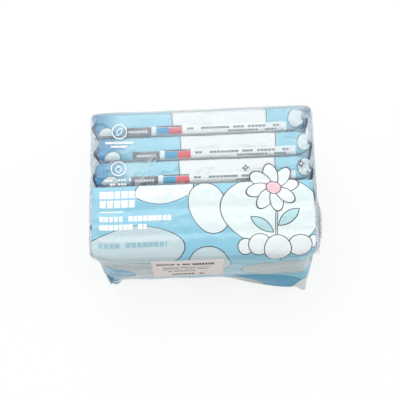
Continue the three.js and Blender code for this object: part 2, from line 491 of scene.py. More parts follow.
class Effects:
    """How the node groups that more than one finish uses are built."""

    @staticmethod
    def begin(name: str, inputs: dict[str, str], outputs: dict[str, str]) -> tuple[
            bpy.types.NodeTree, bpy.types.Node, bpy.types.Node]:
        """A new shader group with named sockets.

        Args:
            name: the group's name.
            inputs: the kind of each input socket by its name.
            outputs: the kind of each output socket by its name.

        Returns:
            The tree, its input node and its output node.
        """
        tree = bpy.data.node_groups.new(name, "ShaderNodeTree")
        for label, kind in inputs.items():
            tree.interface.new_socket(label, in_out="INPUT", socket_type=kind)
        for label, kind in outputs.items():
            tree.interface.new_socket(label, in_out="OUTPUT", socket_type=kind)
        return tree, tree.nodes.new("NodeGroupInput"), tree.nodes.new("NodeGroupOutput")

    @staticmethod
    def place(drawing: Drawing, group: bpy.types.NodeTree, **values: object) -> bpy.types.Node:
        """Puts a group into a drawing's tree. An underscore in a value's name stands for a space.

        Args:
            drawing: the drawing whose tree gets the group.
            group: the group.
            values: its inputs by name.

        Returns:
            The group's node.
        """
        made = drawing.node("ShaderNodeGroup", node_tree=group)
        for label, value in values.items():
            drawing.feed(made.inputs[label.replace("_", " ")], value)
        return made

    @classmethod
    def crinkle(cls) -> bpy.types.NodeTree:
        """The height of crinkled film: long soft folds, crossed by fine sharp ones.

        Returns:
            The group.
        """
        tree, given, result = cls.begin(
            "film_crinkle",
            {"Spot": "NodeSocketVector", "Fold Size": "NodeSocketFloat", "Fine": "NodeSocketFloat"},
            {"Height": "NodeSocketFloat"},
        )
        drawing = Drawing(tree, given.outputs["Spot"])
        scale = drawing.math("DIVIDE", 1.0, given.outputs["Fold Size"])
        soft = drawing.node("ShaderNodeTexNoise")
        drawing.feed(soft.inputs["Vector"], drawing.spot)
        drawing.feed(soft.inputs["Scale"], scale)
        soft.inputs["Detail"].default_value = 2.0
        soft.inputs["Distortion"].default_value = 0.6
        sharp = drawing.node("ShaderNodeTexVoronoi", feature="DISTANCE_TO_EDGE")
        drawing.feed(sharp.inputs["Vector"], drawing.spot)
        drawing.feed(sharp.inputs["Scale"], drawing.math("MULTIPLY", scale, 0.8))
        close = drawing.math("SUBTRACT", 1.0, sharp.outputs["Distance"], clamp=True)
        ridge = drawing.math("POWER", close, 6.0)
        folds = drawing.math("MULTIPLY", ridge, given.outputs["Fine"])
        tree.links.new(drawing.math("ADD", soft.outputs["Fac"], folds), result.inputs["Height"])
        return tree

    @classmethod
    def dashes(cls) -> bpy.types.NodeTree:
        """A row of small blocks with uneven gaps, in the place of a printed line.

        Returns:
            The group.
        """
        tree, given, result = cls.begin(
            "dash_row",
            {"Spot": "NodeSocketVector", "Start": "NodeSocketFloat", "End": "NodeSocketFloat",
             "Level": "NodeSocketFloat", "Height": "NodeSocketFloat", "Pitch": "NodeSocketFloat"},
            {"Mask": "NodeSocketFloat"},
        )
        drawing = Drawing(tree, given.outputs["Spot"])
        u, v = drawing.parts()
        from_start = drawing.math("SUBTRACT", u, given.outputs["Start"])
        cells = drawing.math("DIVIDE", from_start, given.outputs["Pitch"])
        chance = drawing.node("ShaderNodeTexWhiteNoise", noise_dimensions="2D")
        drawing.feed(chance.inputs["Vector"], drawing.combined(
            drawing.math("FLOOR", cells), given.outputs["Level"]))
        across = drawing.math("ABSOLUTE", drawing.math("SUBTRACT", drawing.math("FRACT", cells), 0.5))
        width = drawing.math("MULTIPLY_ADD", chance.outputs["Value"], 0.16, 0.33)
        block = drawing.math("MULTIPLY_ADD", drawing.math("SUBTRACT", width, across), 8.0, 0.5, clamp=True)
        kept = drawing.math("GREATER_THAN", chance.outputs["Value"], 0.14)
        rise = drawing.math("ABSOLUTE", drawing.math("SUBTRACT", v, given.outputs["Level"]))
        over = drawing.math("SUBTRACT", drawing.math("MULTIPLY", given.outputs["Height"], 0.5), rise)
        band = drawing.math("MULTIPLY_ADD", over, 1 / Drawing.EDGE, 0.5, clamp=True)
        after = drawing.math("GREATER_THAN", u, given.outputs["Start"])
        before = drawing.math("LESS_THAN", u, given.outputs["End"])
        mask = drawing.math("MULTIPLY", drawing.math("MULTIPLY", block, kept), band)
        mask = drawing.math("MULTIPLY", mask, drawing.math("MULTIPLY", after, before))
        tree.links.new(mask, result.inputs["Mask"])
        return tree

    @classmethod
    def pebble(cls) -> bpy.types.NodeTree:
        """A rounded patch with a thin outline, laid over the print that is there.

        Returns:
            The group.
        """
        tree, given, result = cls.begin(
            "pebble_patch",
            {"Spot": "NodeSocketVector", "Under": "NodeSocketColor", "Ink": "NodeSocketColor",
             "Line Ink": "NodeSocketColor", "Centre": "NodeSocketVector", "Radii": "NodeSocketVector",
             "Turn": "NodeSocketFloat", "Line": "NodeSocketFloat"},
            {"Colour": "NodeSocketColor"},
        )
        drawing = Drawing(tree, given.outputs["Spot"])
        local = drawing.node("ShaderNodeMapping", vector_type="TEXTURE")
        drawing.feed(local.inputs["Vector"], drawing.spot)
        drawing.feed(local.inputs["Location"], given.outputs["Centre"])
        drawing.feed(local.inputs["Rotation"], drawing.combined(0.0, 0.0, given.outputs["Turn"]))
        drawing.feed(local.inputs["Scale"], given.outputs["Radii"])
        size = drawing.vector("LENGTH", local.outputs[0])
        edge = drawing.math("MULTIPLY", drawing.math("SUBTRACT", size, 1.0),
                            drawing.math("MULTIPLY", drawing.vector("LENGTH", given.outputs["Radii"]), 0.7))
        filled = drawing.paint(given.outputs["Under"], given.outputs["Ink"], drawing.fill(edge))
        reach = drawing.math("SUBTRACT", drawing.math("MULTIPLY", given.outputs["Line"], 0.5),
                             drawing.math("ABSOLUTE", edge))
        line = drawing.math("MULTIPLY_ADD", reach, 1 / Drawing.EDGE, 0.5, clamp=True)
        tree.links.new(drawing.paint(filled, given.outputs["Line Ink"], line), result.inputs["Colour"])
        return tree


@dataclass(frozen=True)
class Section:
    """A film's outline across the bundle at one place along it.

    The upper and lower walls close on each other at the ends. near is the side towards negative q, and far is
    the other one. A fold is how far out a side lies halfway between the walls.
    """

    u: float
    x: float
    half: float
    near_upper: float
    far_upper: float
    near_lower: float
    far_lower: float
    near_fold: float
    far_fold: float
    corner: float
    sharp: float

    @staticmethod
    def even(u: float, x: float, half: float, reach: float, fold: float, corner: float,
             sharp: float) -> "Section":
        """A section whose four wall reaches are alike, and its two folds too."""
        return Section(u, x, half, reach, reach, reach, reach, fold, fold, corner, sharp)


@dataclass
class Place:
    """A point of a film while it is shaped: x, its place across the bundle, and the way that it faces."""

    x: float
    p: float
    q: float
    facing_p: float
    facing_q: float

    def push(self, distance: float) -> None:
        """Moves the point outwards."""
        self.p += distance * self.facing_p
        self.q += distance * self.facing_q


@dataclass
class FilmTube:
    """A tube of film that is closed at both ends by a flat fin seal."""

    name: str
    wall: float
    side: float
    corner: float
    sections: tuple[Section, ...]
    rows: list[float]
    wall_steps: int
    corner_steps: int
    side_steps: int
    seal_start: float
    tooth_pitch: float
    tooth_depth: float
    rib_depth: float
    datum: float = 0.0

    @property
    def girth(self) -> float:
        """The length of film once round the tube."""
        return 2 * (self.wall + self.side + math.pi * self.corner)

    def columns(self) -> list[tuple[Wall, float, float]]:
        """The grid lines along the tube: each one's wall, its share of that wall, and its place round it.

        Returns:
            The lines in their order round the tube.
        """
        arc = math.pi / 2 * self.corner
        stretch = {"WALL": (self.wall, self.wall_steps), "HALF": (self.wall / 2, self.wall_steps // 2),
                   "CORNER": (arc, self.corner_steps), "SIDE": (self.side, self.side_steps)}
        order = ("HALF", "CORNER", "SIDE", "CORNER", "WALL", "CORNER", "SIDE", "CORNER", "HALF")
        found, start = [(Wall.UPPER_FAR, 0.0, 0.0)], 0.0
        for wall, kind in zip(Wall, order):
            length, steps = stretch[kind]
            found += [(wall, (i + 1) / steps, start + length * (i + 1) / steps) for i in range(steps)]
            start += length
        return found

    def section(self, u: float) -> Section:
        """The outline at a distance u from the middle, eased over a few millimetres.

        Args:
            u: the place along the tube.

        Returns:
            The outline.
        """
        reach = (-1.5, -0.5, 0.5, 1.5)
        found = [self.plain_section(abs(u) + shift) for shift in reach]
        return Section(**{name: sum(getattr(one, name) for one in found) / len(found)
                          for name in Section.__dataclass_fields__})

    def plain_section(self, u: float) -> Section:
        """The outline at a distance u, straight between the given ones.

        Args:
            u: the distance from the middle.

        Returns:
            The outline.
        """
        if u <= self.sections[0].u:
            return self.sections[0]
        for before, after in zip(self.sections, self.sections[1:]):
            if u <= after.u:
                share = (u - before.u) / (after.u - before.u)
                return Section(**{name: blend(getattr(before, name), getattr(after, name), share)
                                  for name in Section.__dataclass_fields__})
        return self.sections[-1]

    @staticmethod
    def side_bulge(share: float, sharp: float) -> float:
        """How far out a side stands at a share of its way down, from 0 at its ends to 1 halfway."""
        fold = 1 - abs(2 * share - 1)
        return blend(math.sin(math.pi * share), fold, min(1.0, max(0.0, sharp)))

    def place(self, cut: Section, wall: Wall, share: float) -> Place:
        """The point of an outline at a share of one of its walls.

        Args:
            cut: the outline.
            wall: the wall.
            share: the share of it, in the order in which v runs.

        Returns:
            The point.
        """
        radius = min(cut.corner, 0.9 * cut.half)
        deep = cut.half - radius
        across = {Wall.UPPER_FAR: (0, cut.far_upper - radius), Wall.UPPER_NEAR: (radius - cut.near_upper, 0),
                  Wall.LOWER: (cut.far_lower - radius, radius - cut.near_lower)}
        corners = {Wall.UPPER_FAR_CORNER: (deep, cut.far_upper - radius, 0),
                   Wall.LOWER_FAR_CORNER: (-deep, cut.far_lower - radius, 90),
                   Wall.LOWER_NEAR_CORNER: (-deep, radius - cut.near_lower, 180),
                   Wall.UPPER_NEAR_CORNER: (deep, radius - cut.near_upper, 270)}
        if wall in across:
            up = -1 if wall is Wall.LOWER else 1
            return Place(cut.x, up * cut.half, blend(*across[wall], share), up, 0)
        if wall in corners:
            p, q, start = corners[wall]
            angle = math.radians(start + 90 * share)
            return Place(cut.x, p + radius * math.cos(angle), q + radius * math.sin(angle),
                         math.cos(angle), math.sin(angle))
        far = wall is Wall.FAR_SIDE
        down = share if far else 1 - share
        upper, lower, fold = ((cut.far_upper, cut.far_lower, cut.far_fold) if far
                              else (cut.near_upper, cut.near_lower, cut.near_fold))
        reach = blend(upper, lower, down) + (fold - (upper + lower) / 2) * self.side_bulge(down, cut.sharp)
        out = 1 if far else -1
        return Place(cut.x, blend(deep, -deep, down), out * reach, 0, out)

    def relief(self, u: float, v: float, wall: Wall, place: Place) -> None:
        """Moves a point for the swells, sags and wrinkles of this film."""

    def seal(self, u: float, tip: bool, place: Place) -> None:
        """Ribs the fin seal and cuts its tip into teeth, as a crimping jaw and its blade do.

        Args:
            u: the place along the tube.
            tip: whether the point is on the seal's cut edge.
            place: the point, which is moved.
        """
        start = ease(self.seal_start - 1, self.seal_start + 1, abs(u))
        if start == 0:
            return
        wave = math.cos(2 * math.pi * place.q / self.tooth_pitch)
        place.p = 0.0 if tip else place.p
        place.p += start * self.rib_depth * wave
        if tip:
            place.x -= self.tooth_depth * (0.5 + 0.5 * wave)

    def stand(self, x: float, p: float, q: float) -> Vector:
        """The vertex in the bundle, in metres."""
        raise NotImplementedError

    def point(self, cut: Section, u: float, wall: Wall, share: float, v: float) -> Vector:
        """The vertex of the film at its two coordinates.

        Args:
            cut: the outline at u.
            u: the place along the tube.
            wall: the wall that holds the point.
            share: the point's share of that wall.
            v: the place round the tube from the datum.

        Returns:
            The vertex in metres.
        """
        place = self.place(cut, wall, share)
        self.relief(u, v, wall, place)
        self.seal(u, abs(u) >= self.rows[-1], place)
        return self.stand(math.copysign(place.x, u) if u else 0.0, place.p, place.q)

    def film_v(self, round_place: float, middle: float) -> float:
        """v of a place round the tube, on the side of the film's joint where middle lies.

        Args:
            round_place: the place, from the grid's first line.
            middle: a place in the middle of the same face.

        Returns:
            v.
        """
        v = round_place - self.datum
        shift = middle - self.datum
        if shift > self.girth / 2:
            return v - self.girth
        if shift < -self.girth / 2:
            return v + self.girth
        return v

    def weave(self) -> bmesh.types.BMesh:
        """The film as a closed mesh: a grid wrapped round the tube and welded along its joint and tips.

        Returns:
            The mesh, in metres.
        """
        columns = self.columns()
        mesh = bmesh.new()
        sheet = mesh.loops.layers.uv.new("film")
        bmesh.ops.create_grid(mesh, x_segments=len(self.rows) - 1, y_segments=len(columns) - 1, size=1)
        grid = {vertex: (round((vertex.co.x + 1) / 2 * (len(self.rows) - 1)),
                         round((vertex.co.y + 1) / 2 * (len(columns) - 1))) for vertex in mesh.verts}
        for face in mesh.faces:
            middle = sum(columns[grid[loop.vert][1]][2] for loop in face.loops) / len(face.loops)
            for loop in face.loops:
                row, column = grid[loop.vert]
                loop[sheet].uv = (self.rows[row], self.film_v(columns[column][2], middle))
        cuts = [self.section(u) for u in self.rows]
        for vertex, (row, column) in grid.items():
            wall, share, round_place = columns[column]
            v = self.film_v(round_place, round_place)
            vertex.co = self.point(cuts[row], self.rows[row], wall, share, v)
        bmesh.ops.remove_doubles(mesh, verts=mesh.verts, dist=WELD)
        bmesh.ops.recalc_face_normals(mesh, faces=mesh.faces)
        return mesh


def finished(name: str, mesh: bmesh.types.BMesh, finish: bpy.types.Material) -> bpy.types.Object:
    """Turns a mesh into a smooth-shaded object with its finish, rides it on the bundle and reports it.

    Args:
        name: the piece's name.
        mesh: its mesh, in metres, which is freed.
        finish: its material.

    Returns:
        The object.
    """
    data = bpy.data.meshes.new(name)
    for face in mesh.faces:
        face.smooth = True
    mesh.to_mesh(data)
    mesh.free()
    piece = bpy.data.objects.new(name, data)
    bpy.context.scene.collection.objects.link(piece)
    data.materials.append(finish)
    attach(piece, "root")
    log.info("%s: %d faces", name, len(data.polygons))
    return piece


def blank_finish(name: str) -> tuple[bpy.types.Material, Drawing, bpy.types.Node]:
    """A material with nothing in its tree but its output.

    Args:
        name: the material's name.

    Returns:
        The material, a drawing in its tree, and its output node.
    """
    finish = bpy.data.materials.new(name)
    finish.use_nodes = True
    finish.node_tree.nodes.clear()
    drawing = Drawing(finish.node_tree, None)
    return finish, drawing, drawing.node("ShaderNodeOutputMaterial")


class FilmEffects:
    """What the finishes share: the node groups, and how a film's print and crinkles are made with them."""

    def __init__(self) -> None:
        """Builds each shared node group once."""
        self.crinkle = Effects.crinkle()
        self.dashes = Effects.dashes()
        self.pebble = Effects.pebble()

    @staticmethod
    def start(name: str) -> tuple[bpy.types.Material, Drawing, bpy.types.Node]:
        """A blank material that is drawn on the film's own coordinates.

        Args:
            name: the material's name.

        Returns:
            The material, its drawing, and its output node.
        """
        finish, drawing, output = blank_finish(name)
        drawing.spot = drawing.node("ShaderNodeUVMap", uv_map="film").outputs[0]
        return finish, drawing, output

    def row(self, drawing: Drawing, start: float, end: float, level: float, height: float,
            pitch: float) -> Socket:
        """A row of printed blocks.

        Args:
            drawing: the drawing that it is part of.
            start: u where it starts.
            end: u where it ends.
            level: v of its middle.
            height: the height of its blocks.
            pitch: the distance from block to block.

        Returns:
            The row's mask.
        """
        made = Effects.place(drawing, self.dashes, Spot=drawing.spot, Start=start, End=end, Level=level,
                             Height=height, Pitch=pitch)
        return made.outputs["Mask"]

    def patch(self, drawing: Drawing, under: object, centre: Spot, radii: Spot, turn: float = 0.0,
              ink: Colour = Inks.PALE, line: float = 0.75) -> Socket:
        """The print with one rounded patch laid over it.

        Args:
            drawing: the drawing that it is part of.
            under: the print so far.
            centre: the patch's middle.
            radii: its two radii.
            turn: its turn in degrees.
            ink: its colour.
            line: the width of its outline.

        Returns:
            The colour.
        """
        made = Effects.place(drawing, self.pebble, Spot=drawing.spot, Under=under, Ink=ink,
                             Line_Ink=Inks.OUTLINE, Centre=(*centre, 0), Radii=(*radii, 1),
                             Turn=math.radians(turn), Line=line)
        return made.outputs["Colour"]

    def bump(self, drawing: Drawing, size: float, fine: float, strength: float, depth: float,
             ribs: object = 0.0) -> Socket:
        """The normal of crinkled film.

        Args:
            drawing: the drawing that it is part of.
            size: the size of a fold.
            fine: how much the fine folds add.
            strength: the bump's strength.
            depth: the depth of a fold.
            ribs: a height that is added, such as that of seal ribs.

        Returns:
            The normal.
        """
        made = Effects.place(drawing, self.crinkle, Spot=drawing.spot, Fold_Size=size, Fine=fine)
        node = drawing.node("ShaderNodeBump")
        node.inputs["Strength"].default_value = strength
        node.inputs["Distance"].default_value = depth * MM
        drawing.feed(node.inputs["Height"], drawing.math("ADD", made.outputs["Height"], ribs))
        return node.outputs[0]


@dataclass(frozen=True)
class SleeveFinish:
    """The sleeve's finish: clear, glossy film, and print over its front half and its underside.

    A painted glint is a painted highlight: a white streak of haze in the clear film where its creases would
    catch the light. Each has its middle, its size, its turn in degrees and its strength.
    """

    print_edge: float = -1.5
    print_half: float = 100.5
    foot_print_half: float = 110.0
    underside_print: float = 176.0
    film_ior: float = 1.6
    film_roughness: float = 0.12
    milk_colour: Colour = (0.93, 0.96, 0.98, 1)
    most_milky: float = 0.9
    far_edge: float = 72.0
    flower_middle: Spot = (64.0, -8.0)
    petals: int = 8
    petal_reach: float = 13.0
    petal_radii: Spot = (10.5, 6.2)
    ring_radius: float = 6.6
    painted_glints: tuple[tuple[Spot, Spot, float, float], ...] = (
        ((-62, 14), (62, 38), 30, 0.4), ((-48.5, 20), (28, 5.5), 51, 0.55), ((-42, 22), (20, 3.4), 54, 0.5),
        ((-55, 4), (26, 6.0), 47, 0.5), ((-64, 9), (30, 5.0), 60, 0.45), ((-84, 20), (30, 6.0), 58, 0.4),
        ((-94, 40), (20, 4.0), 75, 0.4), ((-78, 42), (24, 5.0), 16, 0.3), ((-86, 4), (24, 4.0), 12, 0.35),
        ((90, 32), (20, 8.0), -62, 0.5), ((93, 8), (22, 8.0), -72, 0.5), ((68, 47), (30, 4.0), 8, 0.35),
        ((-20, 52), (34, 4.0), -6, 0.3),
    )
    # Patches in the shaded pale and the shaded front pale are pale print in painted shade, where the top
    # turns down to the front and on the front face.
    patches: tuple[tuple[Spot, Spot, float, Colour], ...] = (
        ((-34, -6), (27, 13), 8, Inks.PALE), ((6, -25), (17, 25), 20, Inks.PALE),
        ((62, -29), (46, 33), -6, Inks.PALE), ((-62, -63), (45, 22), 4, Inks.SHADED_PALE),
        ((4, -82), (20, 21), 0, Inks.SHADED_PALE), ((68, -108), (36, 23), -2, Inks.SHADED_FRONT_PALE),
        ((82, -79), (13, 5), 0, Inks.SKY), ((-62, -108), (54, 30), 3, Inks.SHADED_FRONT_PALE),
        ((-90, -108), (24, 17), -10, Inks.DEEP_SKY), ((-58, -154), (48, 13), -4, Inks.PALE),
        ((-100, -140), (19, 12), 0, Inks.FOLD_BLUE), ((66, -150), (44, 13), -4, Inks.DEEP_SKY),
        ((0, -160), (34, 8), 3, Inks.DEEP_SKY), ((36, -154), (20, 11), -14, Inks.SHADED_FRONT_PALE),
        ((104, -156), (27, 15), 12, Inks.PALE), ((34, -186), (36, 14), 15, Inks.PALE),
        ((-52, -200), (40, 17), -12, Inks.PALE), ((84, -222), (24, 12), 5, Inks.PALE),
        ((-8, -226), (20, 9), 0, Inks.PALE), ((-66, 196), (34, 14), 8, Inks.PALE),
        ((28, 204), (44, 12), -6, Inks.PALE),
    )

    def make(self, effects: FilmEffects) -> bpy.types.Material:
        """Makes the sleeve's material.

        Args:
            effects: the shared node groups.

        Returns:
            The material.
        """
        finish, drawing, output = effects.start("sleeve_film")
        colour, opaque = self.print(effects, drawing)
        normal = effects.bump(drawing, 16.0, 0.3, 0.55, 1.6)
        rays = drawing.node("ShaderNodeLightPath").outputs
        passing = drawing.math("MAXIMUM", rays["Is Shadow Ray"], rays["Is Diffuse Ray"])
        lit = drawing.math("SUBTRACT", 1.0, passing)
        clear = self.clear(drawing, normal, lit)
        milky = drawing.math("MULTIPLY", self.milkiness(drawing, normal), lit)
        film = drawing.mixed(milky, clear, self.milk(drawing, normal))
        printed = drawing.surface(colour, normal, Roughness=0.34, Specular_IOR_Level=0.2, Coat_Weight=0.5,
                                  Coat_Roughness=0.14, Coat_Normal=normal)
        drawing.feed(output.inputs["Surface"], drawing.mixed(opaque, film, printed))
        return finish

    def clear(self, drawing: Drawing, normal: Socket, lit: Socket) -> Socket:
        """The clear film: it lets light through, and shines more the flatter it is looked at.

        Args:
            drawing: the drawing on the sleeve's coordinates.
            normal: the crinkled film's normal.
            lit: 1 where the film may shine, and 0 for rays that only pass through it.

        Returns:
            The shader.
        """
        gloss = drawing.node("ShaderNodeBsdfAnisotropic")
        gloss.inputs["Roughness"].default_value = self.film_roughness
        drawing.feed(gloss.inputs["Normal"], normal)
        shine = drawing.node("ShaderNodeFresnel")
        shine.inputs["IOR"].default_value = self.film_ior
        drawing.feed(shine.inputs["Normal"], normal)
        through = drawing.node("ShaderNodeBsdfTransparent").outputs[0]
        return drawing.mixed(drawing.math("MULTIPLY", shine.outputs[0], lit), through, gloss.outputs[0])

    def milk(self, drawing: Drawing, normal: Socket) -> Socket:
        """The film's haze: it scatters light forwards and backwards alike.

        Args:
            drawing: the drawing on the sleeve's coordinates.
            normal: the crinkled film's normal.

        Returns:
            The shader.
        """
        layers = []
        for kind in ("ShaderNodeBsdfDiffuse", "ShaderNodeBsdfTranslucent"):
            layer = drawing.node(kind)
            layer.inputs["Color"].default_value = self.milk_colour
            drawing.feed(layer.inputs["Normal"], normal)
            layers.append(layer.outputs[0])
        return drawing.mixed(0.5, *layers)

    def milkiness(self, drawing: Drawing, normal: Socket) -> Socket:
        """How milky the clear film is: more at the back, at the ends and where it is seen edge on, with
        painted highlights as white streaks.

        Args:
            drawing: the drawing on the sleeve's coordinates.
            normal: the crinkled film's normal.

        Returns:
            The share of haze.
        """
        u, v = drawing.parts()
        along = drawing.math("ABSOLUTE", u)
        back = drawing.ramp(v, 10.0, 50.0, 0.03, 0.16)
        ends = drawing.ramp(along, 99.0, 108.0, 0.0, 0.24)
        fins = drawing.ramp(along, 120.0, 150.0, 1.0, 0.3)
        cloudy = drawing.math("MULTIPLY_ADD", drawing.clouded(24.0), 0.9, 0.55)
        haze = drawing.math("MULTIPLY", drawing.math("MULTIPLY_ADD", ends, fins, back), cloudy)
        fold = drawing.math("ABSOLUTE", drawing.math("SUBTRACT", v, self.far_edge))
        haze = drawing.math("ADD", haze, drawing.math("MULTIPLY_ADD", fold, -0.05, 0.4, clamp=True))
        # Painted highlights: white streaks of haze where the film's creases would catch the light.
        for centre, size, turn, strength in self.painted_glints:
            haze = drawing.math("MULTIPLY_ADD", drawing.glow(centre, size, turn), strength, haze)
        edge_on = drawing.node("ShaderNodeLayerWeight")
        edge_on.inputs["Blend"].default_value = 0.5
        drawing.feed(edge_on.inputs["Normal"], normal)
        slant = drawing.math("MULTIPLY_ADD", edge_on.outputs["Facing"], 1.3, -0.62, clamp=True)
        return drawing.math("MINIMUM", drawing.math("ADD", haze, slant), self.most_milky)

    def print(self, effects: FilmEffects, drawing: Drawing) -> tuple[Socket, Socket]:
        """The sleeve's print and where it is.

        Args:
            effects: the shared node groups.
            drawing: the drawing on the sleeve's coordinates.

        Returns:
            The colour and its mask.
        """
        hand = drawing.wavered(30.0, 2.2)
        cloudy = drawing.math("MULTIPLY_ADD", drawing.clouded(45.0), 1.6, -0.3, clamp=True)
        colour = drawing.paint(Inks.SKY, Inks.LIGHT_SKY, cloudy)
        for centre, radii, turn, ink in self.patches:
            colour = effects.patch(hand, colour, centre, radii, turn, ink)
        colour = self.title(effects, drawing, colour)
        colour, bloom = self.flower(hand, colour)
        colour, icons = self.icons(effects, drawing, colour)
        u, v = drawing.parts()
        ragged = drawing.math("MULTIPLY_ADD", drawing.clouded(30.0), 4.0, -2.0)
        half = drawing.ramp(drawing.math("ABSOLUTE", v), 114.0, 136.0, self.print_half, self.foot_print_half)
        inside = drawing.math("ADD", drawing.math("SUBTRACT", drawing.math("ABSOLUTE", u), half), ragged)
        front = drawing.math("MAXIMUM", drawing.math("SUBTRACT", v, self.print_edge), inside)
        under = drawing.math("MAXIMUM", drawing.math("SUBTRACT", self.underside_print, v), inside)
        printed = drawing.math("MAXIMUM", drawing.fill(front), drawing.fill(under))
        return colour, drawing.math("MAXIMUM", printed, drawing.math("MAXIMUM", bloom, icons))

    def title(self, effects: FilmEffects, drawing: Drawing, colour: Socket) -> Socket:
        """Plain bars in the place of a title, two lines below it and a small one near the front edge.

        Args:
            effects: the shared node groups.
            drawing: the drawing on the sleeve's coordinates.
            colour: the print so far.

        Returns:
            The colour.
        """
        rows = ((-93, -12, -9.6, 7.0, 6.6), (-93, -60, -18.6, 7.0, 6.6), (-93, -28, -33.0, 5.0, 4.4),
                (-93, -50, -40.8, 5.0, 4.4))
        for start, end, level, height, pitch in rows:
            row = effects.row(drawing, start, end, level, height, pitch)
            colour = drawing.paint(colour, Inks.WHITE, row)
        rule = drawing.fill(drawing.box((-82, -26), (22, 1.0), 0.4))
        colour = drawing.paint(colour, Inks.WHITE, rule)
        return drawing.paint(colour, Inks.TEAL_LINE, effects.row(drawing, -94, -32, -58, 4.6, 5.0))

    def flower(self, drawing: Drawing, colour: Socket) -> tuple[Socket, Socket]:
        """A line drawing of a flower on a stem with leaves, above a row of bubbles.

        Args:
            drawing: the drawing on the sleeve's coordinates.
            colour: the print so far.

        Returns:
            The colour and the mask of what may stand past the edge of the print.
        """
        stem = drawing.box((66, -38), (1.6, 40), 0.7, -4)
        colour = drawing.paint(colour, Inks.OUTLINE, drawing.outline(stem, 0.8))
        for middle, turn in (((77, -36), 38), ((53, -42), 142)):
            colour = drawing.inked(colour, drawing.leaf(middle, 24, 9, turn), Inks.LEAF)
        colour, bloom = self.corolla(drawing, colour)
        colour, stars = self.stars(drawing, colour)
        colour = drawing.inked(colour, drawing.disc(self.flower_middle, 6.4), Inks.PINK)
        bubbles = (((38, -62), 7.0), ((98, -60), 6.0), ((50, -60), 9.5), ((86, -62), 10.5),
                   ((66, -64), 12.0))
        for middle, radius in bubbles:
            colour = drawing.inked(colour, drawing.disc(middle, radius), Inks.PETAL)
        return colour, drawing.math("MAXIMUM", bloom, stars)

    def corolla(self, drawing: Drawing, colour: Socket) -> tuple[Socket, Socket]:
        """The flower's ring of petals.

        Args:
            drawing: the drawing on the sleeve's coordinates.
            colour: the print so far.

        Returns:
            The colour and the petals' mask.
        """
        bloom = None
        for i in range(self.petals):
            turn = 360 / self.petals * i + 10
            angle = math.radians(turn)
            middle = (self.flower_middle[0] + self.petal_reach * math.cos(angle),
                      self.flower_middle[1] + self.petal_reach * math.sin(angle))
            petal = drawing.oval(middle, self.petal_radii, turn)
            colour = drawing.inked(colour, petal, Inks.PETAL)
            edge = drawing.math("MULTIPLY_ADD", petal, -1 / Drawing.EDGE, 1.5, clamp=True)
            bloom = edge if bloom is None else drawing.math("MAXIMUM", bloom, edge)
        return colour, bloom

    def stars(self, drawing: Drawing, colour: Socket) -> tuple[Socket, Socket]:
        """Three small stars beside the flower, dark with a pale middle.

        Args:
            drawing: the drawing on the sleeve's coordinates.
            colour: the print so far.

        Returns:
            The colour and the stars' mask.
        """
        mask = None
        for middle, size in (((40, 12), 3.0), ((90, 14), 3.4), ((96, 6), 2.2)):
            star = drawing.fill(drawing.sparkle(middle, 1.6 * size))
            colour = drawing.paint(colour, Inks.OUTLINE, star)
            colour = drawing.paint(colour, Inks.MILK, drawing.fill(drawing.sparkle(middle, 0.8 * size)))
            mask = star if mask is None else drawing.math("MAXIMUM", mask, star)
        return colour, mask

    def icons(self, effects: FilmEffects, drawing: Drawing, colour: Socket) -> tuple[Socket, Socket]:
        """Two white ring icons on the clear film, each above two short rows.

        Args:
            effects: the shared node groups.
            drawing: the drawing on the sleeve's coordinates.
            colour: the print so far.

        Returns:
            The colour and the mask of the icons.
        """
        mask = None
        for (u, v), motif in (((-75, 51), Motif.LEAF), ((-75.5, 15.5), Motif.DROP)):
            parts = [drawing.outline(drawing.disc((u, v), self.ring_radius), 1.1)]
            if motif is Motif.DROP:
                drop = drawing.math("MINIMUM", drawing.disc((u, v - 1), 2.6),
                                    drawing.box((u, v + 0.9), (2.6, 2.6), 0.3, 45))
                parts.append(drawing.outline(drop, 0.9))
            else:
                parts.append(drawing.outline(drawing.leaf((u, v), 8, 3.8, 60), 0.9))
            parts.append(effects.row(drawing, u - 13, u + 13, v - 11, 2.2, 2.5))
            parts.append(effects.row(drawing, u - 8, u + 7, v - 14.6, 2.2, 2.5))
            for part in parts:
                mask = part if mask is None else drawing.math("MAXIMUM", mask, part)
        mask = drawing.math("MULTIPLY", mask, 0.95)
        return drawing.paint(colour, Inks.WHITE, mask), mask


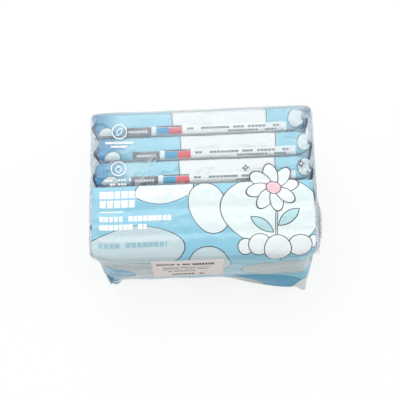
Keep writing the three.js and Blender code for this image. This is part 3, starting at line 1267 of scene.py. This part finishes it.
@dataclass
class OuterSleeve(FilmTube):
    """The sleeve that holds the six packs: clear at the back and the ends, printed at the front and below."""

    name: str = "outer_sleeve"
    wall: float = 131.0
    side: float = 78.0
    corner: float = 7.0
    wall_steps: int = 128
    corner_steps: int = 8
    side_steps: int = 46
    seal_start: float = 150.0
    tooth_pitch: float = 4.5
    tooth_depth: float = 0.8
    rib_depth: float = 0.3
    middle_z: float = 46.0
    pack_pitch: float = 23.65
    groove_sag: float = 0.8
    crease_height: float = 27.0
    left_flare: float = -6.0
    right_flare: float = 8.8
    front_pull: float = 5.0
    foot_pull: float = 4.0
    front_drop: float = 5.0
    front_drop_start: float = 49.0
    front_drop_reach: float = 21.0
    fin_root: float = 105.5
    fin_droop: float = 48.0
    fin_hang: float = 98.0
    fin_taper: float = 0.17
    sections: tuple[Section, ...] = (
        Section(0, 0, 46, 70.2, 72.4, 70.6, 72, 73.6, 73.6, 7, 0),
        Section(30, 30, 46, 70.2, 72.4, 71.0, 72.4, 73.8, 73.8, 7, 0),
        Section(60, 60, 46, 70.2, 72.4, 72.6, 73.4, 74.2, 74, 7, 0),
        Section(84, 84, 46, 69.8, 72.4, 74.8, 75.2, 74, 74, 6, 0),
        Section(96, 95.6, 46, 67.5, 72, 77.5, 77, 71.5, 72.5, 5, 0.3),
        Section(102, 100.8, 45.5, 64.5, 70.5, 78.5, 77, 66.5, 67.5, 4, 0.7),
        Section(106, 102.4, 42.5, 63.5, 69.3, 78, 76, 60, 61, 4, 1),
        Section(114, 103.4, 34.5, 64.5, 69, 75.5, 74, 48, 49, 3, 1),
        Section(127, 104.3, 21.5, 67.5, 69.5, 72.5, 72, 38.5, 39, 2, 1),
        Section(139, 105, 9.8, 70, 70.5, 71.5, 71.5, 40, 41, 1.2, 1),
        Section(145, 105.3, 3.8, 71, 71, 71.3, 71.3, 52, 53, 0.8, 1),
        Section(149, 105.5, 0.4, 71.3, 71.3, 71.3, 71.3, 71.3, 71.3, 0.3, 0),
        Section(156.5, 112.6, 0.25, 71.3, 71.3, 71.3, 71.3, 71.3, 71.3, 0.2, 0),
    )
    rows: list[float] = field(default_factory=lambda: both_ways(
        lines((0, 76, 2.5), (76, 150, 1.25), (150, 156.5, 1.3))))
    finish: SleeveFinish = SleeveFinish()

    def stand(self, x: float, p: float, q: float) -> Vector:
        """The sleeve's walls are its top and its underside."""
        return Vector((x, q, p + self.middle_z)) * MM

    def relief(self, u: float, v: float, wall: Wall, place: Place) -> None:
        """Sags the film between the ridges, swells its front, spreads its foot and wrinkles its ends.

        Args:
            u: the place along the sleeve.
            v: the place round it.
            wall: the wall that holds the point.
            place: the point, which is moved.
        """
        far_out = abs(u)
        loose = 1 - ease(self.seal_start - 6, self.seal_start, far_out)
        height = place.p + self.middle_z
        below = ease(14, 2, height) if wall is not Wall.LOWER else 1.0
        place.push(loose * (1 - below) * self.crinkle(u, v))
        place.push(-0.25 * loose * below * abs(noise.noise(Vector((u / 25, v / 25, 3)))))
        if wall in {Wall.UPPER_FAR, Wall.UPPER_NEAR}:
            beat = 0.5 + 0.5 * math.cos(2 * math.pi * place.q / self.pack_pitch)
            place.p -= self.groove_sag * beat ** 3 * (1 - ease(92, 101, far_out))
        if wall in {Wall.UPPER_NEAR, Wall.UPPER_NEAR_CORNER, Wall.NEAR_SIDE}:
            drop = min(1.0, max(0.0, (-place.q - self.front_drop_start) / self.front_drop_reach))
            down = min(1.0, max(0.0, height / 85)) if wall is Wall.NEAR_SIDE else 1.0
            place.p -= self.front_drop * drop * drop * down * (1 - ease(100, 116, far_out))
        if place.facing_q < 0 and far_out < 110:
            self.shape_front(u, height, place)
        self.shape_ends(u, v, loose, place)
        self.droop(u, place)

    def crinkle(self, u: float, v: float) -> float:
        """The film's own unevenness: soft swells, and pleats that run along it towards the ends.

        Args:
            u: the place along the sleeve.
            v: the place round it.

        Returns:
            How far out the film lies.
        """
        soft = noise.noise(Vector((u / 34, v / 17, 1.5))) * 0.45
        fine = noise.noise(Vector((u / 11, v / 8, 8.5))) * 0.16
        pleat = noise.ridged_multi_fractal(Vector((u / 38, v / 7, 4.5)), 1.0, 2.0, 2, 0.9, 1.8) - 1.0
        near_end = ease(62, 104, abs(u))
        front = ease(-74, -84, v) * ease(-166, -156, v)
        drape = front * 0.8 * noise.noise(Vector((u / 48, v / 8, 21.5)))
        return min(1.2, soft + fine + drape + 0.55 * near_end * pleat)

    def shape_front(self, u: float, height: float, place: Place) -> None:
        """Creases the front above the foot, and flares the foot towards its corners, more at the right one.

        Args:
            u: the place along the sleeve.
            height: the point's height over the floor.
            place: the point, which is moved.
        """
        fade = 1 - ease(104, 112, abs(u))
        sway = noise.noise(Vector((u / 24, 5, 2)))
        uneven = 1.0 + 0.9 * noise.noise(Vector((u / 22, 0, 2)))
        crease = math.exp(-((height - self.crease_height) / 6) ** 2) * uneven
        right = (ease(8, 66, u) - 0.22 * ease(72, 98, u)) * self.right_flare
        left = ease(-30, -98, u) * self.left_flare
        lip = ease(30, 3, height) * (0.6 + 1.2 * sway + right + left)
        place.q -= fade * place.facing_q * (crease - lip)

    def shape_ends(self, u: float, v: float, loose: float, place: Place) -> None:
        """Wrinkles the folded ends outwards along x, and draws the front corners in.

        Args:
            u: the place along the sleeve.
            v: the place round it.
            loose: 1 where the film is free, and 0 in the fin seal.
            place: the point, which is moved.
        """
        far_out = abs(u)
        folded = ease(99, 108, far_out) * loose
        if folded:
            side = math.copysign(40.0, u)
            crease = noise.ridged_multi_fractal(
                Vector((u / 30 + side, place.q / 9, v / 60)), 1.0, 2.0, 3, 0.9, 1.8)
            place.x += folded * 0.75 * (crease - 0.8)
        height = place.p + self.middle_z
        pull = self.front_pull * ease(98, 62, height) + self.foot_pull * ease(36, 0, height)
        place.x -= pull * ease(82, 100, far_out) * ease(36, 74, -place.q)

    def droop(self, u: float, place: Place) -> None:
        """Narrows the fin seal at the front, and lets it droop, more at its two corners.

        Args:
            u: the place along the sleeve.
            place: the point, which is moved.
        """
        if place.q < 0:
            place.q *= 1 - self.fin_taper * ease(110, 148, abs(u))
        past = place.x - self.fin_root
        if abs(u) > self.seal_start - 1 and past > 0:
            back = ease(-25, 5, place.q) if u > 0 else ease(-40, -12, place.q)
            hang = max(back, ease(-42, -60, place.q))
            sway = 9 * noise.noise(Vector((math.copysign(7.0, u), place.q / 40, 0)))
            turn = math.radians(blend(self.fin_droop, self.fin_hang, hang) + sway)
            place.p -= past * math.sin(turn)
            place.x = self.fin_root + past * math.cos(turn)

    def build(self, effects: FilmEffects) -> bpy.types.Object:
        """Builds the sleeve, in the place of its plain shell.

        Args:
            effects: the shared node groups.

        Returns:
            The sleeve.
        """
        piece = finished(self.name, self.weave(), self.finish.make(effects))
        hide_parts("overwrap_film")
        return piece


@dataclass(frozen=True)
class PackFinish:
    """A pack's finish: printed film, with colour fields, small blocks and rows along its top edge."""

    number: int
    print_shift: float
    seal_start: float
    rib_pitch: float = 1.8
    band_middle: float = 19.0
    band_half: float = 43.0
    # How far across the pack the painted shade line along each crease lies.
    crease_shade_line: float = 12.6
    strip_level: float = -7.4
    patches: tuple[tuple[Spot, Spot, float], ...] = (
        ((96, 0), (13, 10.5), 0), ((-58, 52), (26, 16), 15), ((62, 66), (24, 17), -10),
        ((-50, -54), (30, 15), 0), ((70, -50), (20, 22), 0),
    )

    def make(self, effects: FilmEffects) -> bpy.types.Material:
        """Makes the pack's material.

        Args:
            effects: the shared node groups.

        Returns:
            The material.
        """
        finish, drawing, output = effects.start(f"pack_film_{self.number}")
        drawing.spot = drawing.vector("SUBTRACT", drawing.spot, (self.print_shift, 0, 0))
        colour = self.fields(effects, drawing.wavered(26.0, 1.6))
        colour = self.strip(effects, drawing, colour)
        colour = self.directions(effects, drawing, colour)
        normal = effects.bump(drawing, 11.0, 0.2, 0.35, 1.0, self.ribs(drawing))
        surface = drawing.surface(colour, normal, Roughness=0.38, Specular_IOR_Level=0.25)
        drawing.feed(output.inputs["Surface"], surface)
        return finish

    def ribs(self, drawing: Drawing) -> Socket:
        """The fine ribs of the fin seals, which run towards the cut edge.

        Args:
            drawing: the drawing on the pack's coordinates.

        Returns:
            The ribs' height.
        """
        u, v = drawing.parts()
        wave = drawing.math("SINE", drawing.math("MULTIPLY", v, 2 * math.pi / self.rib_pitch))
        sealed = drawing.math("GREATER_THAN", drawing.math("ABSOLUTE", u), self.seal_start)
        return drawing.math("MULTIPLY", drawing.math("MULTIPLY", wave, sealed), 0.25)

    def fields(self, effects: FilmEffects, drawing: Drawing) -> Socket:
        """Sky blue with a white band across the ridge, pale patches on the faces, a dark line of painted
        shade along each crease, and teal ends that are partly print and partly painted shade.

        Args:
            effects: the shared node groups.
            drawing: the drawing on the pack's coordinates.

        Returns:
            The colour.
        """
        u, v = drawing.parts()
        along, across = drawing.math("ABSOLUTE", u), drawing.math("ABSOLUTE", v)
        cloudy = drawing.math("MULTIPLY_ADD", drawing.clouded(30.0), 1.6, -0.3, clamp=True)
        colour = drawing.paint(Inks.PACK_SKY, Inks.LIGHT_PACK_SKY, cloudy)
        from_band = drawing.math("ABSOLUTE", drawing.math("SUBTRACT", u, self.band_middle))
        colour = drawing.inked(colour, drawing.math("SUBTRACT", from_band, self.band_half), Inks.MILK)
        for centre, radii, turn in self.patches:
            colour = effects.patch(drawing, colour, centre, radii, turn, Inks.SHADED_PALE)
        # Teal print and painted shade that deepen towards the left end.
        colour = drawing.paint(colour, Inks.TEAL_AND_SHADE, drawing.ramp(u, -70.0, -92.0, 0.0, 0.95))
        colour = effects.patch(drawing, colour, (-88, -9.5), (9, 6.5), 20, Inks.SHADED_PALE)
        # Painted shade: a dark line along each crease between the packs.
        crease = drawing.outline(drawing.math("SUBTRACT", across, self.crease_shade_line), 2.2)
        colour = drawing.paint(colour, Inks.CREASE, crease)
        # Teal in the tucks beside the ridge at both ends: partly print, and partly painted shade.
        beside = drawing.math("GREATER_THAN", across, 9.0)
        ends = drawing.math("MULTIPLY", drawing.ramp(along, 92.0, 99.0, 0.0, 0.9), beside)
        return drawing.paint(colour, Inks.TEAL_AND_SHADE, ends)

    def strip(self, effects: FilmEffects, drawing: Drawing, colour: Socket) -> Socket:
        """The pale strip along the front of the ridge, with three colour blocks and two small rows.

        Args:
            effects: the shared node groups.
            drawing: the drawing on the pack's coordinates.
            colour: the print so far.

        Returns:
            The colour.
        """
        level = self.strip_level
        band = drawing.fill(drawing.box((18, level - 1.5), (126, 11), 0.5))
        colour = drawing.paint(colour, Inks.PETAL, drawing.math("MULTIPLY", band, 0.85))
        blocks = (((-56, level - 0.4), (25, 8), Inks.GREY_BLOCK),
                  ((-33, level - 0.8), (12, 7), Inks.BLUE_BLOCK), ((-21, level - 0.8), (12, 7), Inks.CORAL),
                  ((-27, level + 3.6), (24, 1.2), Inks.DARK_ROW), ((30, 11), (0.8, 3), Inks.OUTLINE))
        for centre, size, ink in blocks:
            colour = drawing.paint(colour, ink, drawing.fill(drawing.box(centre, size, 0.3)))
        light = effects.row(drawing, -65, -47, level - 0.4, 2.6, 2.6)
        colour = drawing.paint(colour, Inks.WHITE, drawing.math("MULTIPLY", light, 0.7))
        for start, end, place, pitch in ((-11, 74, level + 1.0, 3.3), (24, 74, level - 2.6, 2.8)):
            row = effects.row(drawing, start, end, place, 2.0, pitch)
            colour = drawing.paint(colour, Inks.GREY_ROW, row)
        return colour

    def directions(self, effects: FilmEffects, drawing: Drawing, colour: Socket) -> Socket:
        """Small rows in the place of the directions on the back of the pack.

        Args:
            effects: the shared node groups.
            drawing: the drawing on the pack's coordinates.
            colour: the print so far.

        Returns:
            The colour.
        """
        for i in range(5):
            row = effects.row(drawing, -18, 56 - 9 * (i % 2), 34 - 4 * i, 1.5, 1.9)
            colour = drawing.paint(colour, Inks.GREY_ROW, row)
        return colour


@dataclass(frozen=True)
class PackFit:
    """How one pack lies in the sleeve.

    print_shift is how far its print runs on along it, tuck how far its ends are drawn in, pressed how far
    the sleeve presses down its front edge, and back how far it is pushed back.
    """

    print_shift: float = 0.0
    tuck: float = 1.2
    pressed: float = 0.0
    back: float = 0.0


@dataclass
class WipesPack(FilmTube):
    """One sealed pack, standing on its long edge."""

    name: str = "wipes_pouch"
    number: int = 1
    fit: PackFit = PackFit()
    middle: Vector = field(init=False)
    wall: float = 79.0
    side: float = 13.0
    corner: float = 4.5
    wall_steps: int = 58
    corner_steps: int = 7
    side_steps: int = 12
    half_depth: float = 11.3
    seal_start: float = 111.0
    tooth_pitch: float = 6.2
    tooth_depth: float = 1.0
    rib_depth: float = 0.25
    seam_width: float = 11.0
    seam_half: float = 88.0
    seam_level: float = -11.25
    seam_thickness: float = 0.25
    seam_v: float = 60.0
    fin_root: float = 99.9
    fin_turn: float = 84.0
    fin_limit: float = 101.2
    right_squeeze: float = 0.16
    sections: tuple[Section, ...] = (
        Section.even(0, 0, 11.2, 44, 44.8, 4.5, 0),
        Section.even(92, 92, 11.2, 44, 44.6, 4.5, 0),
        Section.even(96, 95.6, 10.7, 44, 43.8, 4, 0.5),
        Section.even(100, 98, 8.8, 43.8, 41, 3, 1),
        Section.even(104, 99, 5.4, 43.5, 36.6, 2, 1),
        Section.even(108, 99.6, 1.8, 43.2, 35, 0.8, 1),
        Section.even(110, 99.9, 0.5, 43, 42.5, 0.4, 0.5),
        Section.even(118, 107.9, 0.25, 43, 43, 0.2, 0),
    )
    rows: list[float] = field(default_factory=lambda: both_ways(
        lines((0, 86, 3.4), (86, 112, 1.0), (112, 118, 1.5))))

    def __post_init__(self) -> None:
        """Takes the pack's middle from the frame, along it from its own box and across it from its flap."""
        low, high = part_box(f"wipes_pack_{self.number}")
        flap_low, flap_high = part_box(f"reseal_flap_{self.number}")
        self.middle = Vector(((low.x + high.x) / 2, flap_high.y + (self.half_depth + self.fit.back) * MM,
                              (flap_low.z + flap_high.z) / 2))
        self.datum = self.wall / 2 + math.pi / 2 * self.corner + self.side / 2

    def stand(self, x: float, p: float, q: float) -> Vector:
        """The pack's walls are its front and its back."""
        return self.middle + Vector((x, -p, q)) * MM

    def relief(self, u: float, v: float, wall: Wall, place: Place) -> None:
        """Presses the pack a little out of true, as soft wipes in film are, and folds its fins over.

        Args:
            u: the place along the pack.
            v: the place round it.
            wall: the wall that holds the point.
            place: the point, which is moved.
        """
        loose = 1 - ease(self.seal_start - 5, self.seal_start, abs(u))
        seed = 11.3 * self.number
        soft = noise.noise(Vector((u / 30, v / 12, seed)))
        fine = noise.noise(Vector((u / 8, v / 5, seed + 4)))
        pleat = noise.noise(Vector((u / 14, v / 3, seed + 9))) * ease(76, 92, abs(u))
        depth = 0.35 * (soft - 0.6) + 0.12 * fine + 0.35 * pleat
        place.push(loose * min(0.15, depth))
        place.p *= 1 - self.right_squeeze * ease(86, 98, u)
        place.x -= self.fit.tuck * ease(76, 97, abs(u)) * (0.75 + 0.25 * ease(10, -44, place.q))
        drop = min(1.0, max(0.0, (place.p + 10) / 21))
        place.q -= self.fit.pressed * drop * drop * ease(20, 44, place.q)
        past = max(0.0, place.x - self.fin_root)
        sway = 14 * noise.noise(Vector((seed, math.copysign(3, u), place.q / 30)))
        turn = math.radians(self.fin_turn + sway)
        place.p += past * math.sin(turn)
        room = self.fin_limit - self.middle.x / MM * (1 if u > 0 else -1)
        place.x = min(place.x - past * (1 - math.cos(turn)), room)

    def seam(self, mesh: bmesh.types.BMesh) -> None:
        """Adds the joint along the back, a narrow flap of film that lies flat.

        Args:
            mesh: the pack's mesh, which gets the seam.
        """
        sheet = mesh.loops.layers.uv["film"]
        made = bmesh.ops.create_grid(mesh, x_segments=60, y_segments=4, size=1)
        faces = {face for vertex in made["verts"] for face in vertex.link_faces}
        for vertex in made["verts"]:
            x, share = vertex.co.x * self.seam_half, (vertex.co.y + 1) / 2
            rise = share * self.seam_width
            wave = 0.25 * noise.noise(Vector((x / 14, rise / 9, self.number)))
            vertex.co = self.stand(x, self.seam_level + (wave - 0.1) * share, rise)
        for face in faces:
            for loop in face.loops:
                place = loop.vert.co - self.middle
                loop[sheet].uv = (place.x / MM, self.seam_v - place.z / MM)
        bmesh.ops.recalc_face_normals(mesh, faces=list(faces))
        bmesh.ops.solidify(mesh, geom=list(faces), thickness=self.seam_thickness * MM)

    def build(self, effects: FilmEffects) -> bpy.types.Object:
        """Builds the pack, in the place of its plain pouch.

        Args:
            effects: the shared node groups.

        Returns:
            The pack.
        """
        mesh = self.weave()
        self.seam(mesh)
        finish = PackFinish(self.number, self.fit.print_shift, self.seal_start)
        piece = finished(f"{self.name}_{self.number}", mesh, finish.make(effects))
        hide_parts(f"wipes_pack_{self.number}")
        return piece


@dataclass(frozen=True)
class PaperFinish:
    """The price sticker's finish: matt paper with dark bars and grey rows."""

    bars: tuple[tuple[float, float, float, float, float, Colour], ...] = (
        (4, 26, -9, 5.0, 2.4, Inks.DARK_ROW), (28, 35, -9, 5.0, 2.4, Inks.DARK_ROW),
        (37, 57, -9, 5.0, 2.8, Inks.DARK_ROW), (10, 54, -19, 2.4, 1.8, Inks.GREY_ROW),
        (9, 56, -25, 3.2, 2.0, Inks.GREY_ROW), (14, 40, -32, 2.4, 1.8, Inks.GREY_ROW),
        (17, 47, -43, 8.0, 3.6, Inks.DARK_ROW),
    )
    roughness: float = 0.6

    def make(self, effects: FilmEffects) -> bpy.types.Material:
        """Makes the sticker's material.

        Args:
            effects: the shared node groups.

        Returns:
            The material.
        """
        finish, drawing, output = effects.start("sticker_paper")
        fibre = drawing.math("MULTIPLY_ADD", drawing.clouded(1.5, 4.0), 0.9, 0.05, clamp=True)
        colour = drawing.paint(Inks.SHADED_PAPER, Inks.PAPER, fibre)
        for start, end, level, height, pitch, ink in self.bars:
            colour = drawing.paint(colour, ink, effects.row(drawing, start, end, level, height, pitch))
        normal = effects.bump(drawing, 3.0, 0.1, 0.25, 0.3)
        drawing.feed(output.inputs["Surface"], drawing.surface(colour, normal, Roughness=self.roughness))
        return finish


@dataclass
class PriceSticker:
    """The paper sticker on the front of the sleeve, which bends over its top edge."""

    sleeve: OuterSleeve
    name: str = "price_label"
    thickness: float = 0.15
    gap: float = 0.35
    tilt: float = 0.5
    lean: float = -2.2
    left: float = -47.5
    width: float = 65.0
    top_v: float = -73.5
    length: float = 57.0
    finish: PaperFinish = PaperFinish()

    def build(self, effects: FilmEffects) -> bpy.types.Object:
        """Builds the sticker, in the place of its plain sheet.

        Args:
            effects: the shared node groups.

        Returns:
            The sticker.
        """
        mesh = bmesh.new()
        sheet = mesh.loops.layers.uv.new("film")
        made = bmesh.ops.create_grid(mesh, x_segments=40, y_segments=34, size=1)
        local = {vertex: ((vertex.co.x + 1) / 2 * self.width, (vertex.co.y - 1) / 2 * self.length)
                 for vertex in made["verts"]}
        for face in mesh.faces:
            for loop in face.loops:
                loop[sheet].uv = local[loop.vert]
        slope, lean = math.tan(math.radians(self.tilt)), math.tan(math.radians(self.lean))
        for vertex, (across, down) in local.items():
            u = self.left + across - lean * down
            vertex.co = self.on_sleeve(u, self.top_v + down + slope * across)
        bmesh.ops.recalc_face_normals(mesh, faces=mesh.faces)
        bmesh.ops.solidify(mesh, geom=mesh.faces[:], thickness=self.thickness * MM)
        bmesh.ops.recalc_face_normals(mesh, faces=mesh.faces)
        piece = finished(self.name, mesh, self.finish.make(effects))
        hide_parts("price_sticker")
        return piece

    def on_sleeve(self, u: float, v: float) -> Vector:
        """The point just outside the sleeve's front.

        Args:
            u: the sleeve's own coordinate along it.
            v: its coordinate round it, which is negative at the front.

        Returns:
            The point in metres.
        """
        half, arc = self.sleeve.wall / 2, math.pi / 2 * self.sleeve.corner
        past = -v - half
        if past < 0:
            wall, share = Wall.UPPER_NEAR, 1 + v / half
        elif past < arc:
            wall, share = Wall.UPPER_NEAR_CORNER, 1 - past / arc
        else:
            wall, share = Wall.NEAR_SIDE, 1 - (past - arc) / self.sleeve.side
        place = self.sleeve.place(self.sleeve.section(u), wall, share)
        self.sleeve.relief(u, v, wall, place)
        place.push(self.gap)
        return self.sleeve.stand(math.copysign(place.x, u), place.p, place.q)


@dataclass(frozen=True)
class FlapFinish:
    """The reseal flaps' finish: satin white film, drawn on the flaps' own coordinates."""

    roughness: float = 0.35

    def make(self, effects: FilmEffects) -> bpy.types.Material:
        """Makes the flaps' material.

        Args:
            effects: the shared node groups.

        Returns:
            The material.
        """
        finish, drawing, output = blank_finish("reseal_flap_film")
        metres = drawing.node("ShaderNodeTexCoord").outputs["Object"]
        drawing.spot = drawing.vector("MULTIPLY", metres, (1 / MM, 1 / MM, 1 / MM))
        colour = drawing.paint(Inks.FLAP, Inks.WHITE, drawing.clouded(12.0))
        normal = effects.bump(drawing, 8.0, 0.1, 0.2, 0.4)
        drawing.feed(output.inputs["Surface"], drawing.surface(colour, normal, Roughness=self.roughness))
        return finish


@dataclass
class ResealFlaps:
    """The stiff flaps stuck over the packs' openings. They keep their shape and get their finish here."""

    count: int = 6
    finish: FlapFinish = FlapFinish()

    def dress(self, effects: FilmEffects) -> None:
        """Gives every flap its finish.

        Args:
            effects: the shared node groups.
        """
        material = self.finish.make(effects)
        for number in range(1, self.count + 1):
            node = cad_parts[f"reseal_flap_{number}"]
            node.data.materials.clear()
            node.data.materials.append(material)
            log.info("%s: finish only", node.name)


@dataclass(frozen=True)
class Softbox:
    """A soft rectangular lamp that is aimed at the bundle, in metres and watts."""

    name: str
    place: tuple[float, float, float]
    size: Spot
    watts: float
    aim: tuple[float, float, float] = (0, 0, 0.05)

    def build(self) -> None:
        """Puts the lamp in its place."""
        data = bpy.data.lights.new(self.name, "AREA")
        data.shape = "RECTANGLE"
        data.size, data.size_y = self.size
        data.energy = self.watts
        lamp = bpy.data.objects.new(self.name, data)
        lamp.location = self.place
        aim = Vector(self.aim) - Vector(self.place)
        lamp.rotation_euler = aim.to_track_quat("-Z", "Y").to_euler()
        bpy.context.scene.collection.objects.link(lamp)


@dataclass(frozen=True)
class FloorFinish:
    """The floor's finish: matt grey that takes the shadow, with a glow that only the camera sees."""

    grey: float = 0.62
    glow: float = 1.14
    glow_share: float = 0.72

    def make(self) -> bpy.types.Material:
        """Makes the floor's material.

        Returns:
            The material.
        """
        finish, drawing, output = blank_finish("pale_floor")
        matt = drawing.node("ShaderNodeBsdfDiffuse")
        matt.inputs["Color"].default_value = (self.grey, self.grey, self.grey, 1)
        glow = drawing.node("ShaderNodeEmission")
        glow.inputs["Strength"].default_value = self.glow
        share = drawing.math("MULTIPLY", drawing.seen(), self.glow_share)
        drawing.feed(output.inputs["Surface"], drawing.mixed(share, matt.outputs[0], glow.outputs[0]))
        return finish


@dataclass
class Studio:
    """A plain pale floor, soft lamps and the camera at the photograph's angle, in metres and degrees."""

    lens: float = 75.8
    sensor: float = 36.0
    place: tuple[float, float, float] = (0.03898, -0.22107, 0.81629)
    azimuth: float = 11.292
    tilt: float = 16.045
    roll: float = -12.913
    sky: float = 0.4
    floor_reach: float = 6.0
    floor_level: float = -0.0003
    floor_finish: FloorFinish = FloorFinish()
    lamps: tuple[Softbox, ...] = (
        Softbox("back_softbox", (-0.15, 0.6, 1.05), (0.9, 0.75), 6.6),
        Softbox("top_softbox", (0.5, -0.1, 1.3), (0.6, 0.6), 1.8),
        Softbox("left_softbox", (-0.95, 0.05, 0.4), (0.5, 0.5), 3.2),
        Softbox("right_softbox", (0.95, 0.05, 0.4), (0.5, 0.5), 3.2),
        Softbox("front_softbox", (-0.1, -1.1, 0.5), (0.8, 0.4), 2.0),
    )

    def build(self) -> None:
        """Builds the camera, the floor, the lamps and the sky."""
        self.camera()
        self.floor()
        for lamp in self.lamps:
            lamp.build()
        self.world()

    def camera(self) -> None:
        """The camera, turned as the photographer held it."""
        data = bpy.data.cameras.new("photo_camera")
        data.lens = self.lens
        data.sensor_width = self.sensor
        camera = bpy.data.objects.new("photo_camera", data)
        camera.matrix_world = (Matrix.Translation(self.place)
                               @ Matrix.Rotation(math.radians(self.azimuth), 4, "Z")
                               @ Matrix.Rotation(math.radians(self.tilt), 4, "X")
                               @ Matrix.Rotation(math.radians(self.roll), 4, "Z"))
        bpy.context.scene.collection.objects.link(camera)
        bpy.context.scene.camera = camera

    def floor(self) -> None:
        """A floor that the camera sees as almost white, and that keeps the bundle's shadow."""
        mesh = bmesh.new()
        bmesh.ops.create_grid(mesh, x_segments=1, y_segments=1, size=self.floor_reach)
        bmesh.ops.translate(mesh, verts=mesh.verts, vec=(0, 0, self.floor_level))
        data = bpy.data.meshes.new("floor")
        mesh.to_mesh(data)
        mesh.free()
        floor = bpy.data.objects.new("floor", data)
        bpy.context.scene.collection.objects.link(floor)
        data.materials.append(self.floor_finish.make())

    def world(self) -> None:
        """A pale sky that lights plainly and that the camera sees as white."""
        world = bpy.data.worlds.new("pale_sky")
        world.use_nodes = True
        bpy.context.scene.world = world
        drawing = Drawing(world.node_tree, None)
        background = world.node_tree.nodes["Background"]
        background.inputs["Color"].default_value = (1, 1, 1, 1)
        strength = drawing.math("MULTIPLY_ADD", drawing.seen(), 1 - self.sky, self.sky)
        drawing.feed(background.inputs["Strength"], strength)
        bpy.context.scene.view_settings.view_transform = "Standard"


PACK_FITS = (
    PackFit(print_shift=-2.0, tuck=10.0, pressed=6.0, back=1.0),
    PackFit(print_shift=1.5, tuck=3.5),
    PackFit(print_shift=-1.0),
    PackFit(print_shift=3.5),
    PackFit(print_shift=4.0, tuck=2.6),
    PackFit(tuck=4.2),
)


def main() -> None:
    """Builds the bundle's pieces in order, from the packs outwards, and then the studio."""
    effects = FilmEffects()
    for number, fit in enumerate(PACK_FITS, start=1):
        WipesPack(number=number, fit=fit).build(effects)
    ResealFlaps().dress(effects)
    sleeve = OuterSleeve()
    sleeve.build(effects)
    PriceSticker(sleeve).build(effects)
    Studio().build()


if __name__ == "__main__":
    logging.basicConfig(level=logging.INFO, format="%(name)s: %(message)s")
    main()
